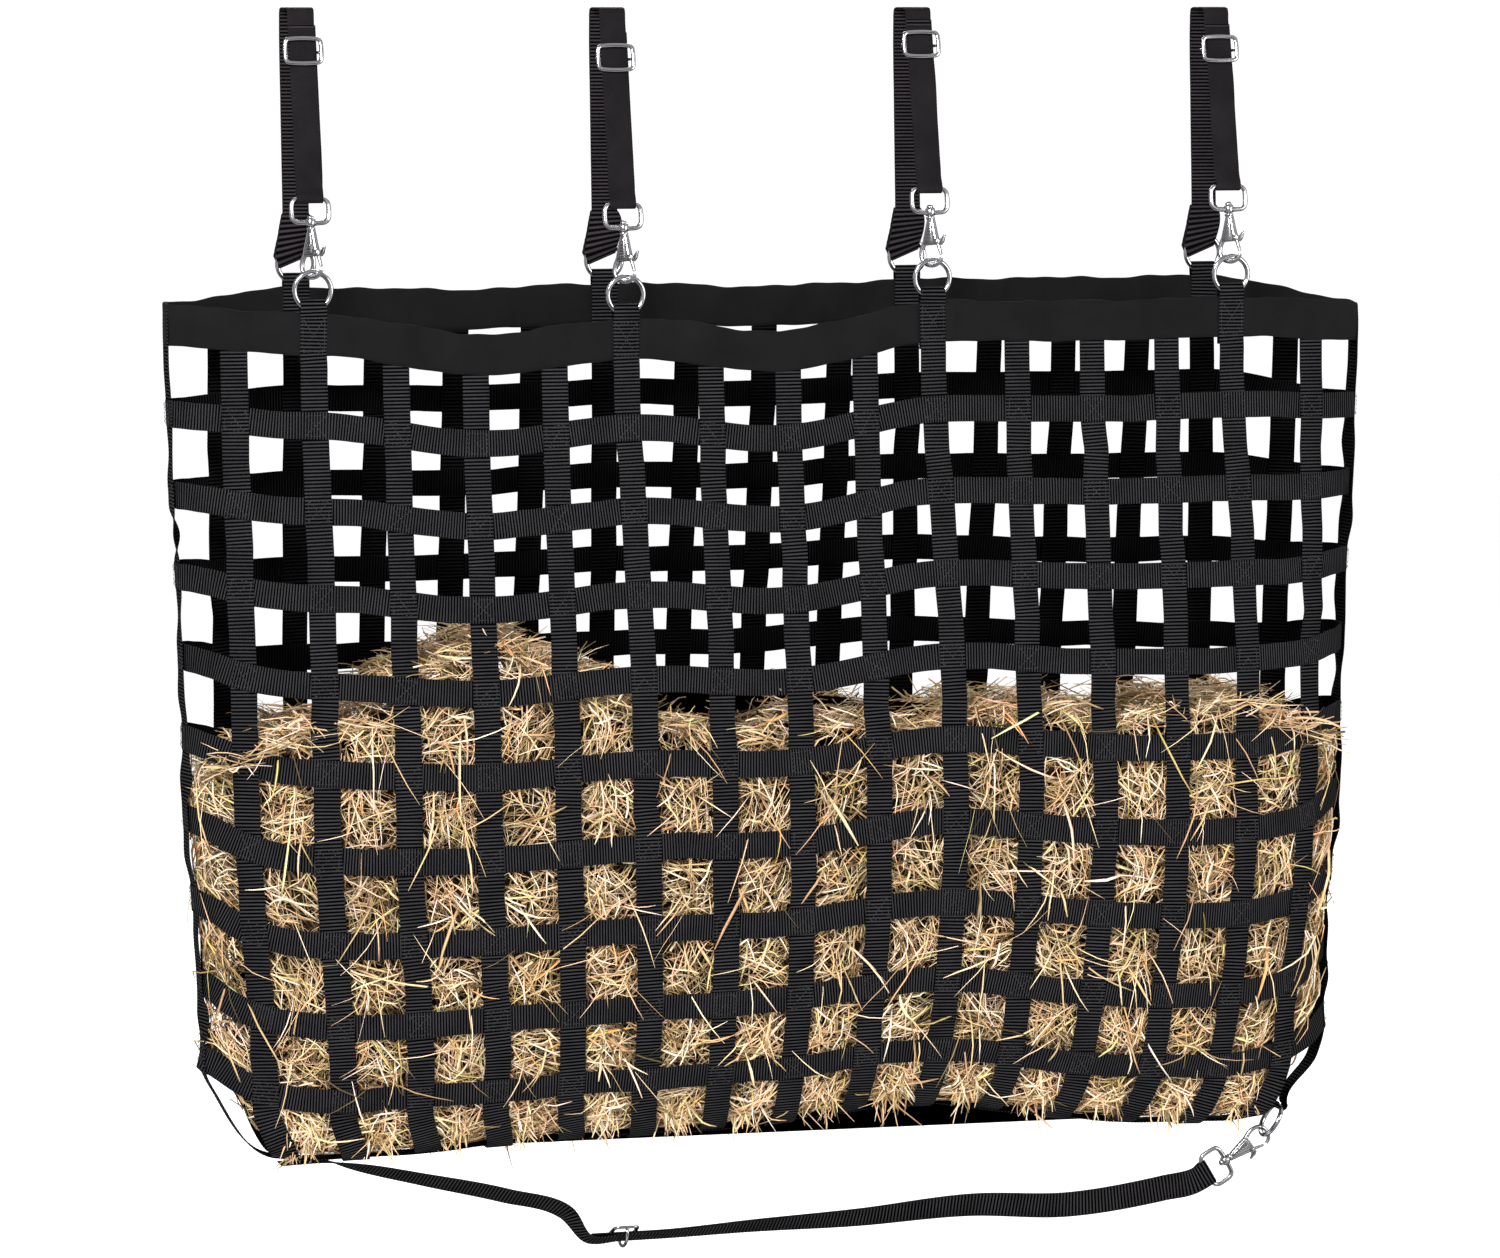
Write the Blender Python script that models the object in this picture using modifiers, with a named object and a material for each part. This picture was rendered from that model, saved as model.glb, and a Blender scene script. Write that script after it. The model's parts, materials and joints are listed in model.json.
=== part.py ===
"""Hay net of woven webbing that hangs from a fence rail on four adjustable straps.

Frame: +Z up, +X along the net, +Y to the rear. The origin is at the bottom centre of the whole
object's box, under the middle of the mouth. Lengths are in metres.
"""

import math

import bmesh
import bpy
import numpy as np
from mathutils import Matrix, Vector

MM = 0.001

# Driving dimensions of the net.
PITCH = 76.2 * MM
WEB_WIDTH = 25.4 * MM
WEB_THICK = 1.2 * MM
UPRIGHTS = 16
BANDS = 9
FLAT_BANDS = (6, 7, 8, 9)
RIM_DEPTH = 38.1 * MM
RIM_LEAF = 0.8 * MM
WEAVE = 1.5 * MM
GAP = 0.3 * MM
HEIGHT = 1193 * MM

# Depth of the bag, from the mouth to the widest level and down to the closed bottom.
MOUTH_HALF = 41 * MM
BELLY_HALF = 95 * MM
BELLY_LEVEL = 0.50
FIRST_BAND = RIM_DEPTH + PITCH - WEB_WIDTH / 2
BOTTOM_LEVEL = FIRST_BAND + BANDS * PITCH
BOTTOM_LIFT = 20 * MM
CORNER_GATHER = 0.045
FLOOR_DRAW = 0.955

# The four hangers: the upright each one stands on, and how far its front ring hangs below the rail.
HANGER_UPRIGHTS = (2, 6, 10, 14)
HANGER_DROPS = (261 * MM, 269 * MM, 257 * MM, 257 * MM)
SHIFT_FADE = 0.35
HANGER_SHIFT = (-2 * MM, -7 * MM, -9 * MM, -10 * MM)
BUCKLE_BELOW_TOP = (40 * MM, 47 * MM, 35 * MM, 40 * MM)
BAY_SAG = (17 * MM, 20 * MM, 2 * MM)
END_DROPS = (274 * MM, 287 * MM)
REAR_RIM_DROP = 262 * MM
RAIL_THICK = 38 * MM
RAIL_Y = 27 * MM
SNAP_LEAN = math.radians(9.5)

# Hardware.
RING_RADIUS = 17.6 * MM
RING_WIRE = 2.4 * MM
EYE_WIRE = 2.6 * MM
EYE_WIDTH = 40 * MM
EYE_HEIGHT = 22.5 * MM
BUCKLE_WIRE = 2.1 * MM
BUCKLE_WIDTH = 38 * MM
BUCKLE_HEIGHT = 27 * MM
CENTRE_BAR = 1.6 * MM
HOOK_WIRE = 2.0 * MM
BOWL_BELOW_EYE = 51 * MM
BOWL_CLEARANCE = 1.1 * MM
GATE_PIN = 0.8 * MM
GATE_AT = (6.0 * MM, -29.0 * MM)
BOWL_BELOW_RING = RING_WIRE + BOWL_CLEARANCE + HOOK_WIRE
HOOK_TURN = math.radians(-40)
FOLD_RADIUS = 4.6 * MM
FOLD_RISE = 5.5 * MM
FOLD_WIDTH = 13 * MM
LAYER = WEB_THICK / 2 + GAP
PATCH = 13 * MM  # half a crossing, with a little to spare
EYE_WRAP = EYE_WIRE + LAYER + 0.1 * MM  # radius of a strap's loop round an eye's bar
REAR_WRAP_SLACK = 1.6 * MM
RING_SLACK = 0.6 * MM
LOOP_START = 12 * MM
HANGER_TAIL = 26 * MM
REAR_TAIL = 26 * MM
FLARE_START = 24 * MM
RAIL_ROUND = 3 * MM

# The strap that hangs under the net.
SNAP_SLOPE = math.radians(31)
CORNER_RING_SLOPE = math.radians(60)
CORNER_X = 521 * MM
CORNER_RISE = 8 * MM
BUCKLE_X = -153 * MM
BUCKLE_Z = 12.758 * MM
BUCKLE_TILT = math.radians(63)
ANCHOR_GAP = 1.6 * MM
ANCHOR_WIDTH = 14 * MM
BESIDE_BUCKLE = 34 * MM
BOTTOM_TAIL = 46 * MM
CORNER_DROP = 45 * MM

COLOURS = {
    "webbing": ((0.012, 0.012, 0.014), 0.75, 0.0),
    "rim_tape": ((0.010, 0.010, 0.012), 0.85, 0.0),
    "strap_twill": ((0.016, 0.014, 0.016), 0.8, 0.0),
    "nickel": ((0.62, 0.62, 0.64), 0.22, 1.0),
    "zinc_cast": ((0.55, 0.55, 0.58), 0.3, 1.0),
}


def clear_scene():
    for obj in list(bpy.data.objects):
        bpy.data.objects.remove(obj, do_unlink=True)


def new_collection(name):
    collection = bpy.data.collections.new(name)
    bpy.context.scene.collection.children.link(collection)
    return collection


def make_materials():
    made = {}
    for name, (colour, roughness, metallic) in COLOURS.items():
        material = bpy.data.materials.new(name)
        material.use_nodes = True
        shader = material.node_tree.nodes["Principled BSDF"]
        shader.inputs["Base Color"].default_value = (*colour, 1.0)
        shader.inputs["Roughness"].default_value = roughness
        shader.inputs["Metallic"].default_value = metallic
        material.diffuse_color = (*colour, 1.0)
        made[name] = material
    return made


clear_scene()
PARTS = new_collection("hay_net")
CUTTERS = new_collection("cutters")
MATERIALS = make_materials()


# ---------------------------------------------------------------- shape of the net


def smooth(value):
    value = min(1.0, max(0.0, value))
    return value * value * (3 - 2 * value)


def half_depth(level):
    """Half the bag's front-to-rear depth at a distance below the rim."""
    growth = MOUTH_HALF + (BELLY_HALF - MOUTH_HALF) * smooth(level / BELLY_LEVEL)
    if level <= BELLY_LEVEL:
        return growth
    closing = (level - BELLY_LEVEL) / (BOTTOM_LEVEL - BELLY_LEVEL)
    return growth * (1 - min(1.0, closing) ** 2) ** 0.55


def section_curve(half_width, level):
    """One panel of the level's section, from the left side strap to the right one."""
    bluntness = 12 - 7 * smooth(level / BELLY_LEVEL)
    angle = np.linspace(-math.pi / 2, math.pi / 2, 301)
    across = np.sin(angle)
    x = half_width * across
    y = half_depth(level) * (1 - np.abs(across) ** bluntness) ** 0.65
    steps = np.hypot(np.diff(x), np.diff(y))
    return x, y, np.concatenate([[0], np.cumsum(steps)])


SECTIONS = {}


def section(level):
    """The section whose panels are sixteen pitches long, found by adjusting its width.

    Below the belly the corners are gathered, so the section is drawn in a little further.
    """
    key = round(level, 6)
    if key not in SECTIONS:
        half_width = UPRIGHTS * PITCH / 2
        for _ in range(12):
            x, y, run = section_curve(half_width, level)
            half_width += (UPRIGHTS * PITCH - run[-1]) / 2
        half_width *= 1 - CORNER_GATHER * smooth((level - 0.45) / 0.3)
        x, y, run = section_curve(half_width, level)
        SECTIONS[key] = (x, y, run * UPRIGHTS * PITCH / run[-1])
    return SECTIONS[key]


def knot_height(x, knots):
    """Eased interpolation through (x, z) knots in order of x."""
    if x <= knots[0][0]:
        return knots[0][1]
    for (x0, z0), (x1, z1) in zip(knots, knots[1:]):
        if x <= x1:
            return z0 + (z1 - z0) * smooth((x - x0) / (x1 - x0))
    return knots[-1][1]


def rim_height(x, front):
    """Top edge of the rim: it hangs lower between the front rings, and is nearly level behind."""
    hangers = [(i - UPRIGHTS / 2) * PITCH for i in HANGER_UPRIGHTS]
    ends = (-0.594, 0.594)
    if front:
        tops = [HEIGHT - drop - RING_RADIUS + 0.6 * MM - FOLD_RISE for drop in HANGER_DROPS]
    else:
        tops = [HEIGHT - REAR_RIM_DROP] * len(hangers)
    knots = [(ends[0], HEIGHT - END_DROPS[0])]
    knots += list(zip(hangers, tops))
    knots += [(ends[1], HEIGHT - END_DROPS[1])]
    height = knot_height(x, knots)
    for left, right, sag in zip(hangers, hangers[1:], BAY_SAG):
        if left < x < right:
            depth = sag if front else 0.25 * sag
            height -= depth * math.sin(math.pi * (x - left) / (right - left)) ** 2
    return height


def floor_height(x):
    """Height that the net's rows settle to near the bottom, measured as if at the rim."""
    hump = 18 * MM * math.exp(-(((x - 0.14) / 0.12) ** 2))
    sides = 46 * MM * min(1.0, abs(x) / 0.565) ** 16
    droop = -14 * MM * min(1.0, abs(x) / 0.42) ** 2
    return HEIGHT - 311 * MM - 0.01 * x + hump + sides + droop


def net_point(around, level):
    """A point of the net. around counts uprights: 0 left side, 1 to 15 front, 16 right, 17 to 31 rear."""
    around = around % (2 * UPRIGHTS)
    front = around <= UPRIGHTS
    step = around if front else 2 * UPRIGHTS - around
    x_curve, y_curve, run = section(level)
    x = float(np.interp(step * PITCH, run, x_curve))
    y = float(np.interp(step * PITCH, run, y_curve))
    settle = smooth(level / 0.75)
    top = (1 - settle) * rim_height(x, front) + settle * floor_height(x)
    slack = max(0.0, (level - 0.55) / (BOTTOM_LEVEL - 0.55))
    z = top - level + BOTTOM_LIFT * slack**3
    return Vector((x, -y if front else y, z))


def hanger_shift(around, level):
    """How far the uprights that hold rings are pulled sideways near the rim."""
    around = around % (2 * UPRIGHTS)
    step = min(around, 2 * UPRIGHTS - around)
    if step not in HANGER_UPRIGHTS:
        return 0.0
    return HANGER_SHIFT[HANGER_UPRIGHTS.index(step)] * (1 - smooth(level / SHIFT_FADE))


class Crossing:
    """Where an upright strap meets a band: a small flat patch with its own axes."""

    def __init__(self, around, level):
        reach = 13 * MM / PITCH
        shift = Vector((hanger_shift(around, level), 0, 0))
        left = net_point(around - reach, level) + shift
        right = net_point(around + reach, level) + shift
        above = net_point(around, level - 13 * MM)
        below = net_point(around, level + 13 * MM)
        self.centre = (left + right) / 2
        self.along = (right - left).normalized()
        self.out = (below - above).cross(self.along).normalized()
        self.up = self.along.cross(self.out).normalized()
        if self.up.z < 0:
            self.up = -self.up

    def at(self, along=0.0, up=0.0, out=0.0):
        return self.centre + self.along * along + self.up * up + self.out * out


def band_level(band):
    return FIRST_BAND + (band - 1) * PITCH


CROSSINGS = {}


def crossing(around, band):
    key = (around % (2 * UPRIGHTS), band)
    if key not in CROSSINGS:
        CROSSINGS[key] = Crossing(key[0], band_level(band))
    return CROSSINGS[key]


def floor_point(x):
    """Centre line of the bottom, where the front and rear panels meet."""
    return Vector((x, 0.0, floor_height(x) - BOTTOM_LEVEL + BOTTOM_LIFT))


def floor_patch(index):
    """Centre, lengthwise direction and upward direction where an upright crosses the bottom."""
    x = FLOOR_DRAW * crossing(index, BANDS).centre.x
    reach = 13 * MM
    left = floor_point(x - reach)
    right = floor_point(x + reach)
    along = (right - left).normalized()
    return (left + right) / 2, along, Vector((-along.z, 0, along.x))


# ---------------------------------------------------------------- building blocks


def add_mesh(name, mesh, material, place=None):
    obj = bpy.data.objects.new(name, mesh)
    PARTS.objects.link(obj)
    if material is not None and not mesh.materials:
        mesh.materials.append(MATERIALS[material])
    if place is not None:
        obj.matrix_world = place
    return obj


def ribbon(name, stations, material, closed=False, thickness=WEB_THICK, origin=None):
    """A webbing strap: stations are (point, direction across, width)."""
    origin = Vector(origin or (0, 0, 0))
    mesh = bpy.data.meshes.new(name)
    bm = bmesh.new()
    rows = []
    before = stations[0][1]
    for point, across, width in stations:
        before = across if across.dot(before) > 0 else -across
        side = before.normalized() * (width / 2)
        rows.append([bm.verts.new(point - side - origin), bm.verts.new(point + side - origin)])
    pairs = list(zip(rows, rows[1:]))
    if closed:
        pairs.append((rows[-1], rows[0]))
    for (a, b), (c, d) in pairs:
        if (d.co - a.co).length < (c.co - b.co).length:
            bm.faces.new((a, b, d))
            bm.faces.new((a, d, c))
        else:
            bm.faces.new((a, b, c))
            bm.faces.new((b, d, c))
    bm.to_mesh(mesh)
    bm.free()
    obj = add_mesh(name, mesh, material, Matrix.Translation(origin))
    solidify = obj.modifiers.new("thickness", "SOLIDIFY")
    solidify.thickness = thickness
    solidify.offset = 0
    return obj


def wire(points, radius, closed=False, sides=2):
    """A mesh tube along straight runs between points."""
    curve = bpy.data.curves.new("wire", "CURVE")
    curve.dimensions = "3D"
    curve.bevel_depth = radius
    curve.bevel_resolution = sides
    curve.use_fill_caps = True
    spline = curve.splines.new("POLY")
    spline.points.add(len(points) - 1)
    for spot, point in zip(spline.points, points):
        spot.co = (*point, 1)
    spline.use_cyclic_u = closed
    guide = bpy.data.objects.new("wire", curve)
    bpy.context.scene.collection.objects.link(guide)
    graph = bpy.context.evaluated_depsgraph_get()
    mesh = bpy.data.meshes.new_from_object(guide.evaluated_get(graph))
    bpy.data.objects.remove(guide, do_unlink=True)
    bm = bmesh.new()
    bm.from_mesh(mesh)
    bmesh.ops.remove_doubles(bm, verts=bm.verts, dist=0.01 * MM)
    bmesh.ops.recalc_face_normals(bm, faces=bm.faces)
    bm.to_mesh(mesh)
    bm.free()
    return mesh


def rounded_rectangle(width, height, radius, arc_steps=3):
    """Corner-rounded outline in the local XZ plane, centred."""
    points = []
    corners = ((1, 1, 0), (-1, 1, 90), (-1, -1, 180), (1, -1, 270))
    for side_x, side_z, start in corners:
        centre_x = side_x * (width / 2 - radius)
        centre_z = side_z * (height / 2 - radius)
        for step in range(arc_steps + 1):
            angle = math.radians(start + 90 * step / arc_steps)
            points.append((centre_x + radius * math.cos(angle), 0, centre_z + radius * math.sin(angle)))
    return points


def cylinder_mesh(radius, depth, centre, axis="Z", sides=14):
    mesh = bpy.data.meshes.new("cylinder")
    bm = bmesh.new()
    turn = Matrix.Rotation(math.pi / 2, 4, "X") if axis == "Y" else Matrix()
    bmesh.ops.create_cone(
        bm,
        cap_ends=True,
        segments=sides,
        radius1=radius,
        radius2=radius,
        depth=depth,
        matrix=Matrix.Translation(centre) @ turn,
    )
    bm.to_mesh(mesh)
    bm.free()
    return mesh


def box_mesh(size, centre):
    mesh = bpy.data.meshes.new("box")
    bm = bmesh.new()
    matrix = Matrix.Translation(centre) @ Matrix.Diagonal((*size, 1))
    bmesh.ops.create_cube(bm, size=1, matrix=matrix)
    bm.to_mesh(mesh)
    bm.free()
    return mesh


def outline_mesh(points, thickness, bevel=0.0):
    """A flat outline in the local XZ plane, thickened along local Y."""
    curve = bpy.data.curves.new("outline", "CURVE")
    curve.dimensions = "2D"
    curve.fill_mode = "BOTH"
    curve.extrude = thickness / 2 - bevel
    curve.bevel_depth = bevel
    curve.bevel_resolution = 1
    spline = curve.splines.new("POLY")
    spline.points.add(len(points) - 1)
    for spot, (x, z) in zip(spline.points, points):
        spot.co = (x, z, 0, 1)
    spline.use_cyclic_u = True
    guide = bpy.data.objects.new("outline", curve)
    bpy.context.scene.collection.objects.link(guide)
    graph = bpy.context.evaluated_depsgraph_get()
    mesh = bpy.data.meshes.new_from_object(guide.evaluated_get(graph))
    bpy.data.objects.remove(guide, do_unlink=True)
    bm = bmesh.new()
    bm.from_mesh(mesh)
    bmesh.ops.remove_doubles(bm, verts=bm.verts, dist=0.005 * MM)
    bmesh.ops.transform(bm, verts=bm.verts, matrix=Matrix.Rotation(math.pi / 2, 4, "X"))
    bmesh.ops.recalc_face_normals(bm, faces=bm.faces)
    bm.to_mesh(mesh)
    bm.free()
    return mesh


def combine(base, joined=(), cut=()):
    """The base mesh with other meshes joined to it and some cut away, as one new mesh."""
    obj = bpy.data.objects.new("combined", base)
    CUTTERS.objects.link(obj)
    helpers = []
    for operation, meshes in (("UNION", joined), ("DIFFERENCE", cut)):
        for mesh in meshes:
            helper = bpy.data.objects.new("helper", mesh)
            CUTTERS.objects.link(helper)
            helper.hide_render = True
            helper.display_type = "WIRE"
            helpers.append(helper)
            boolean = obj.modifiers.new(operation.lower(), "BOOLEAN")
            boolean.operation = operation
            boolean.object = helper
    bpy.context.view_layer.update()
    graph = bpy.context.evaluated_depsgraph_get()
    mesh = bpy.data.meshes.new_from_object(obj.evaluated_get(graph))
    mesh.materials.clear()
    for helper in [*helpers, obj]:
        bpy.data.objects.remove(helper, do_unlink=True)
    mesh.shade_smooth()
    mesh.set_sharp_from_angle(angle=math.radians(35))
    return mesh


# ---------------------------------------------------------------- net


def sign(around, band):
    return 1 if (around + band) % 2 == 0 else -1


def make_band(band):
    """One horizontal band, a closed loop that passes over and under the uprights."""
    stations = []
    for around in range(2 * UPRIGHTS):
        spot = crossing(around, band)
        out = -WEAVE * sign(around, band)
        near_end = min(around % UPRIGHTS, -around % UPRIGHTS) <= 2
        for along in (-PATCH, PATCH) if near_end else (0,):
            stations.append((spot.at(along=along, out=out), spot.up, WEB_WIDTH))
    ribbon(f"band_{band}", stations, "webbing", closed=True)


def fold_centre(around):
    """Centre of the fold that an upright strap makes over the rim to hold a ring."""
    spot = Crossing(around, RIM_DEPTH / 2)
    top = net_point(around, 0.0)
    return Vector((spot.centre.x, spot.centre.y, top.z + FOLD_RISE))


def strap_top(around, holds_ring):
    """Stations of an upright's upper end, from its very end down to just below the rim."""
    spot = Crossing(around, RIM_DEPTH / 2)
    half = RIM_DEPTH / 2
    if not holds_ring:
        return [
            (spot.at(up=half - 3 * MM), spot.along, WEB_WIDTH),
            (spot.at(up=-half), spot.along, WEB_WIDTH),
        ]
    leg = 2 * RIM_LEAF + WEB_THICK / 2 + 2 * GAP + LAYER
    stations = [
        (spot.at(up=-half - 6 * MM, out=-leg), spot.along, WEB_WIDTH),
        (spot.at(up=half - 4 * MM, out=-leg), spot.along, WEB_WIDTH),
    ]
    centre = fold_centre(around)
    across = Vector((1, 0, 0))
    outward = Vector((0, math.copysign(1, spot.out.y), 0))
    for step in range(-3, 4):
        angle = step * math.pi / 6
        point = centre + outward * FOLD_RADIUS * math.sin(angle) + Vector((0, 0, FOLD_RADIUS * math.cos(angle)))
        stations.append((point, across, FOLD_WIDTH))
    stations += [
        (spot.at(up=half - 4 * MM, out=leg), spot.along, WEB_WIDTH),
        (spot.at(up=-half - 2 * MM, out=leg), spot.along, WEB_WIDTH),
    ]
    return stations


def strap_panel(around, holds_ring):
    """Stations of an upright down one panel, from its upper end to the last band."""
    stations = strap_top(around, holds_ring)
    for band in range(1, BANDS + 1):
        spot = crossing(around, band)
        out = WEAVE * sign(around, band)
        flat = band in FLAT_BANDS or (holds_ring and band <= 5)
        for up in (PATCH, -PATCH) if flat else (0,):
            stations.append((spot.at(up=up, out=out), spot.along, WEB_WIDTH))
    return stations


def make_upright(index):
    """An upright strap: down the front, under the bottom and up the rear."""
    holds_ring = index in HANGER_UPRIGHTS
    front = strap_panel(index, holds_ring)
    rear = strap_panel(2 * UPRIGHTS - index, holds_ring)
    floor, along, up = floor_patch(index)
    floor = floor - up * WEAVE * sign(index, 0)
    bottom = [(floor + Vector((0, y, 0)), along, WEB_WIDTH) for y in (-PATCH, PATCH)]
    ribbon(f"upright_{index:02d}", front + bottom + rear[::-1], "webbing")


def corner_fold():
    """Stations of the fold at the bottom right corner that holds the corner ring."""
    centre = corner_pivot()
    stations = []
    for step in range(7):
        angle = math.radians(150 + 240 * step / 6)
        point = centre + Vector((math.cos(angle), 0, math.sin(angle))) * FOLD_RADIUS
        stations.append((point, Vector((0, 1, 0)), FOLD_WIDTH))
    return stations


def corner_pivot():
    return Vector((CORNER_X, 0, floor_patch(UPRIGHTS - 1)[0].z + CORNER_RISE))


def make_side_strap():
    """The strap down both sides and lengthwise under the bottom."""
    across = Vector((0, 1, 0))

    def side(around):
        spot = Crossing(around, RIM_DEPTH / 2)
        rows = [(spot.at(up=16 * MM), across, 0.75 * WEB_WIDTH), (spot.at(up=-19 * MM), across, WEB_WIDTH)]
        for band in range(1, BANDS + 1):
            spot = crossing(around, band)
            rows.append((spot.at(out=WEAVE * sign(around, band)), across, WEB_WIDTH))
        return rows

    left = side(0)
    right = side(UPRIGHTS)
    low_left = left[-1][0]
    corner_left = Vector((low_left.x + 14 * MM, 0, low_left.z - CORNER_DROP))
    low_right = right[-1][0]
    corner_right = Vector((low_right.x - 8 * MM, 0, low_right.z - CORNER_DROP))
    bottom = []
    for index in range(1, UPRIGHTS):
        centre, along, up = floor_patch(index)
        centre = centre + up * WEAVE * sign(index, 0)
        for step in (-PATCH, PATCH) if index in (1, UPRIGHTS - 1) else (0,):
            bottom.append((centre + along * step, across, WEB_WIDTH))
    stations = left + [(corner_left, across, WEB_WIDTH)] + bottom + corner_fold()
    stations += [(corner_right, across, WEB_WIDTH)] + right[::-1]
    ribbon("side_and_bottom_strap", stations, "webbing")


def make_rim():
    """The rim: a tape folded over the ends of the uprights, as a channel open downwards."""
    mesh = bpy.data.meshes.new("rim_band")
    bm = bmesh.new()
    half = RIM_DEPTH / 2
    leaf = WEB_THICK / 2 + GAP + RIM_LEAF
    profile = ((-half, leaf), (half, leaf), (half, -leaf), (-half, -leaf))
    rows = []
    for around in range(2 * UPRIGHTS):
        near_end = min(around % UPRIGHTS, -around % UPRIGHTS) <= 2
        spot = Crossing(around, half)
        for along in (-PATCH, PATCH) if near_end else (0,):
            rows.append([bm.verts.new(spot.at(along=along, up=up, out=out)) for up, out in profile])
    for row, after in zip(rows, rows[1:] + rows[:1]):
        for k in range(3):
            bm.faces.new((row[k], row[k + 1], after[k + 1]))
            bm.faces.new((row[k], after[k + 1], after[k]))
    bm.to_mesh(mesh)
    bm.free()
    obj = add_mesh("rim_band", mesh, "rim_tape")
    solidify = obj.modifiers.new("thickness", "SOLIDIFY")
    solidify.thickness = RIM_LEAF
    solidify.offset = 0


# ---------------------------------------------------------------- hardware meshes, shared


def ring_mesh():
    points = []
    for step in range(18):
        angle = 2 * math.pi * step / 18
        points.append((RING_RADIUS * math.sin(angle), 0, RING_RADIUS * (1 - math.cos(angle))))
    return wire(points, RING_WIRE, closed=True, sides=1)


def buckle_mesh():
    """Slide buckle. Local X across the strap, Z along it, -Y is its front; the strap runs at Y 0."""
    front = -(LAYER + WEB_THICK + GAP + BUCKLE_WIRE)
    behind = LAYER + WEB_THICK + GAP + CENTRE_BAR
    outline = rounded_rectangle(BUCKLE_WIDTH - 2 * BUCKLE_WIRE, BUCKLE_HEIGHT - 2 * BUCKLE_WIRE, 3 * MM, 2)
    frame = wire([(x, front, z) for x, _, z in outline], BUCKLE_WIRE, closed=True, sides=1)
    reach = BUCKLE_WIDTH / 2 - BUCKLE_WIRE
    bar = wire([(-reach, front, 0), (-reach, behind, 0), (reach, behind, 0), (reach, front, 0)], CENTRE_BAR)
    return combine(frame, joined=[bar])


def eye_mesh():
    """Swivel eye. Origin at the centre of its top bar; the boss below carries the swivel."""
    outline = rounded_rectangle(EYE_WIDTH - 2 * EYE_WIRE, EYE_HEIGHT, 5 * MM, 2)
    frame = wire([(x, 0, z - EYE_HEIGHT / 2) for x, _, z in outline], EYE_WIRE, closed=True, sides=1)
    boss = cylinder_mesh(4.6 * MM, 6.4 * MM, (0, 0, -EYE_HEIGHT))
    bore = cylinder_mesh(2.2 * MM, 12 * MM, (0, 0, -EYE_HEIGHT))
    return combine(frame, joined=[boss], cut=[bore])


def hook_mesh():
    """Snap hook. Origin at the centre of the eye's lower bar, hook hanging along -Z, gate at +X."""
    body_outline = [(-4.5, -4.4), (4.5, -4.4), (5.2, -10), (8.6, -31), (-8.6, -31), (-5.2, -10)]
    body = outline_mesh([(x * MM, z * MM) for x, z in body_outline[::-1]], 8 * MM, 1.2 * MM)
    arm_points = [(-6.5, -28), (-9.5, -33), (-11, -39), (-10.2, -44.5), (-7, -49), (-2, -51)]
    arm_points += [(3.5, -50.6), (7.8, -48), (9.8, -44.2)]
    arm = wire([(x * MM, 0, z * MM) for x, z in arm_points], HOOK_WIRE, sides=1)
    stub = cylinder_mesh(1.8 * MM, 12 * MM, (0, 0, -0.5 * MM))
    head = cylinder_mesh(3.4 * MM, 2 * MM, (0, 0, 4.8 * MM))
    slot = box_mesh((9 * MM, 3.8 * MM, 10 * MM), (7.5 * MM, 0, -28.5 * MM))
    pin = cylinder_mesh(GATE_PIN, 7 * MM, (GATE_AT[0], 0, GATE_AT[1]), axis="Y", sides=10)
    solid = combine(body, joined=[arm, stub, head], cut=[slot])
    return combine(solid, joined=[pin])


def gate_mesh():
    """Sprung gate with its thumb lever. Origin on its pin."""
    outline = [(-1.8, 1.6), (0.2, 2.4), (5.0, 3.6), (7.6, 6.4), (8.4, 5.8), (6.6, -0.6), (4.0, -3.0)]
    outline += [(4.8, -12.0), (2.6, -12.6), (0.6, -4.0), (-1.8, -1.8)]
    blade = outline_mesh([(x * MM, z * MM) for x, z in outline], 3 * MM)
    hole = cylinder_mesh(GATE_PIN + 0.25 * MM, 6 * MM, (0, 0, 0), axis="Y", sides=10)
    return combine(blade, cut=[hole])


HARDWARE = {
    "ring": ring_mesh(),
    "buckle": buckle_mesh(),
    "eye": eye_mesh(),
    "hook": hook_mesh(),
    "gate": gate_mesh(),
}


def place_hardware(kind, name, material, matrix):
    return add_mesh(name, HARDWARE[kind], material, matrix)


# ---------------------------------------------------------------- hangers


def tangent_frame(point, across, tangent):
    """Matrix with local X across a strap, Z along it and Y behind it."""
    along = tangent.normalized()
    side = (across - along * across.dot(along)).normalized()
    back = along.cross(side)
    rotation = Matrix((side, back, along)).transposed().to_4x4()
    return Matrix.Translation(point) @ rotation


def adjuster_profile(length):
    """(along, front) pairs of the doubled end: up behind, round the eye bar at 0, and up in front."""
    wrap = EYE_WRAP
    pairs = [(length + HANGER_TAIL, -LAYER), (LOOP_START, -LAYER)]
    for step in range(7):
        angle = math.radians(-90 - 30 * step)
        pairs.append((wrap * math.cos(angle), wrap * math.sin(angle)))
    pairs.append((LOOP_START, LAYER))
    return pairs


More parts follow.
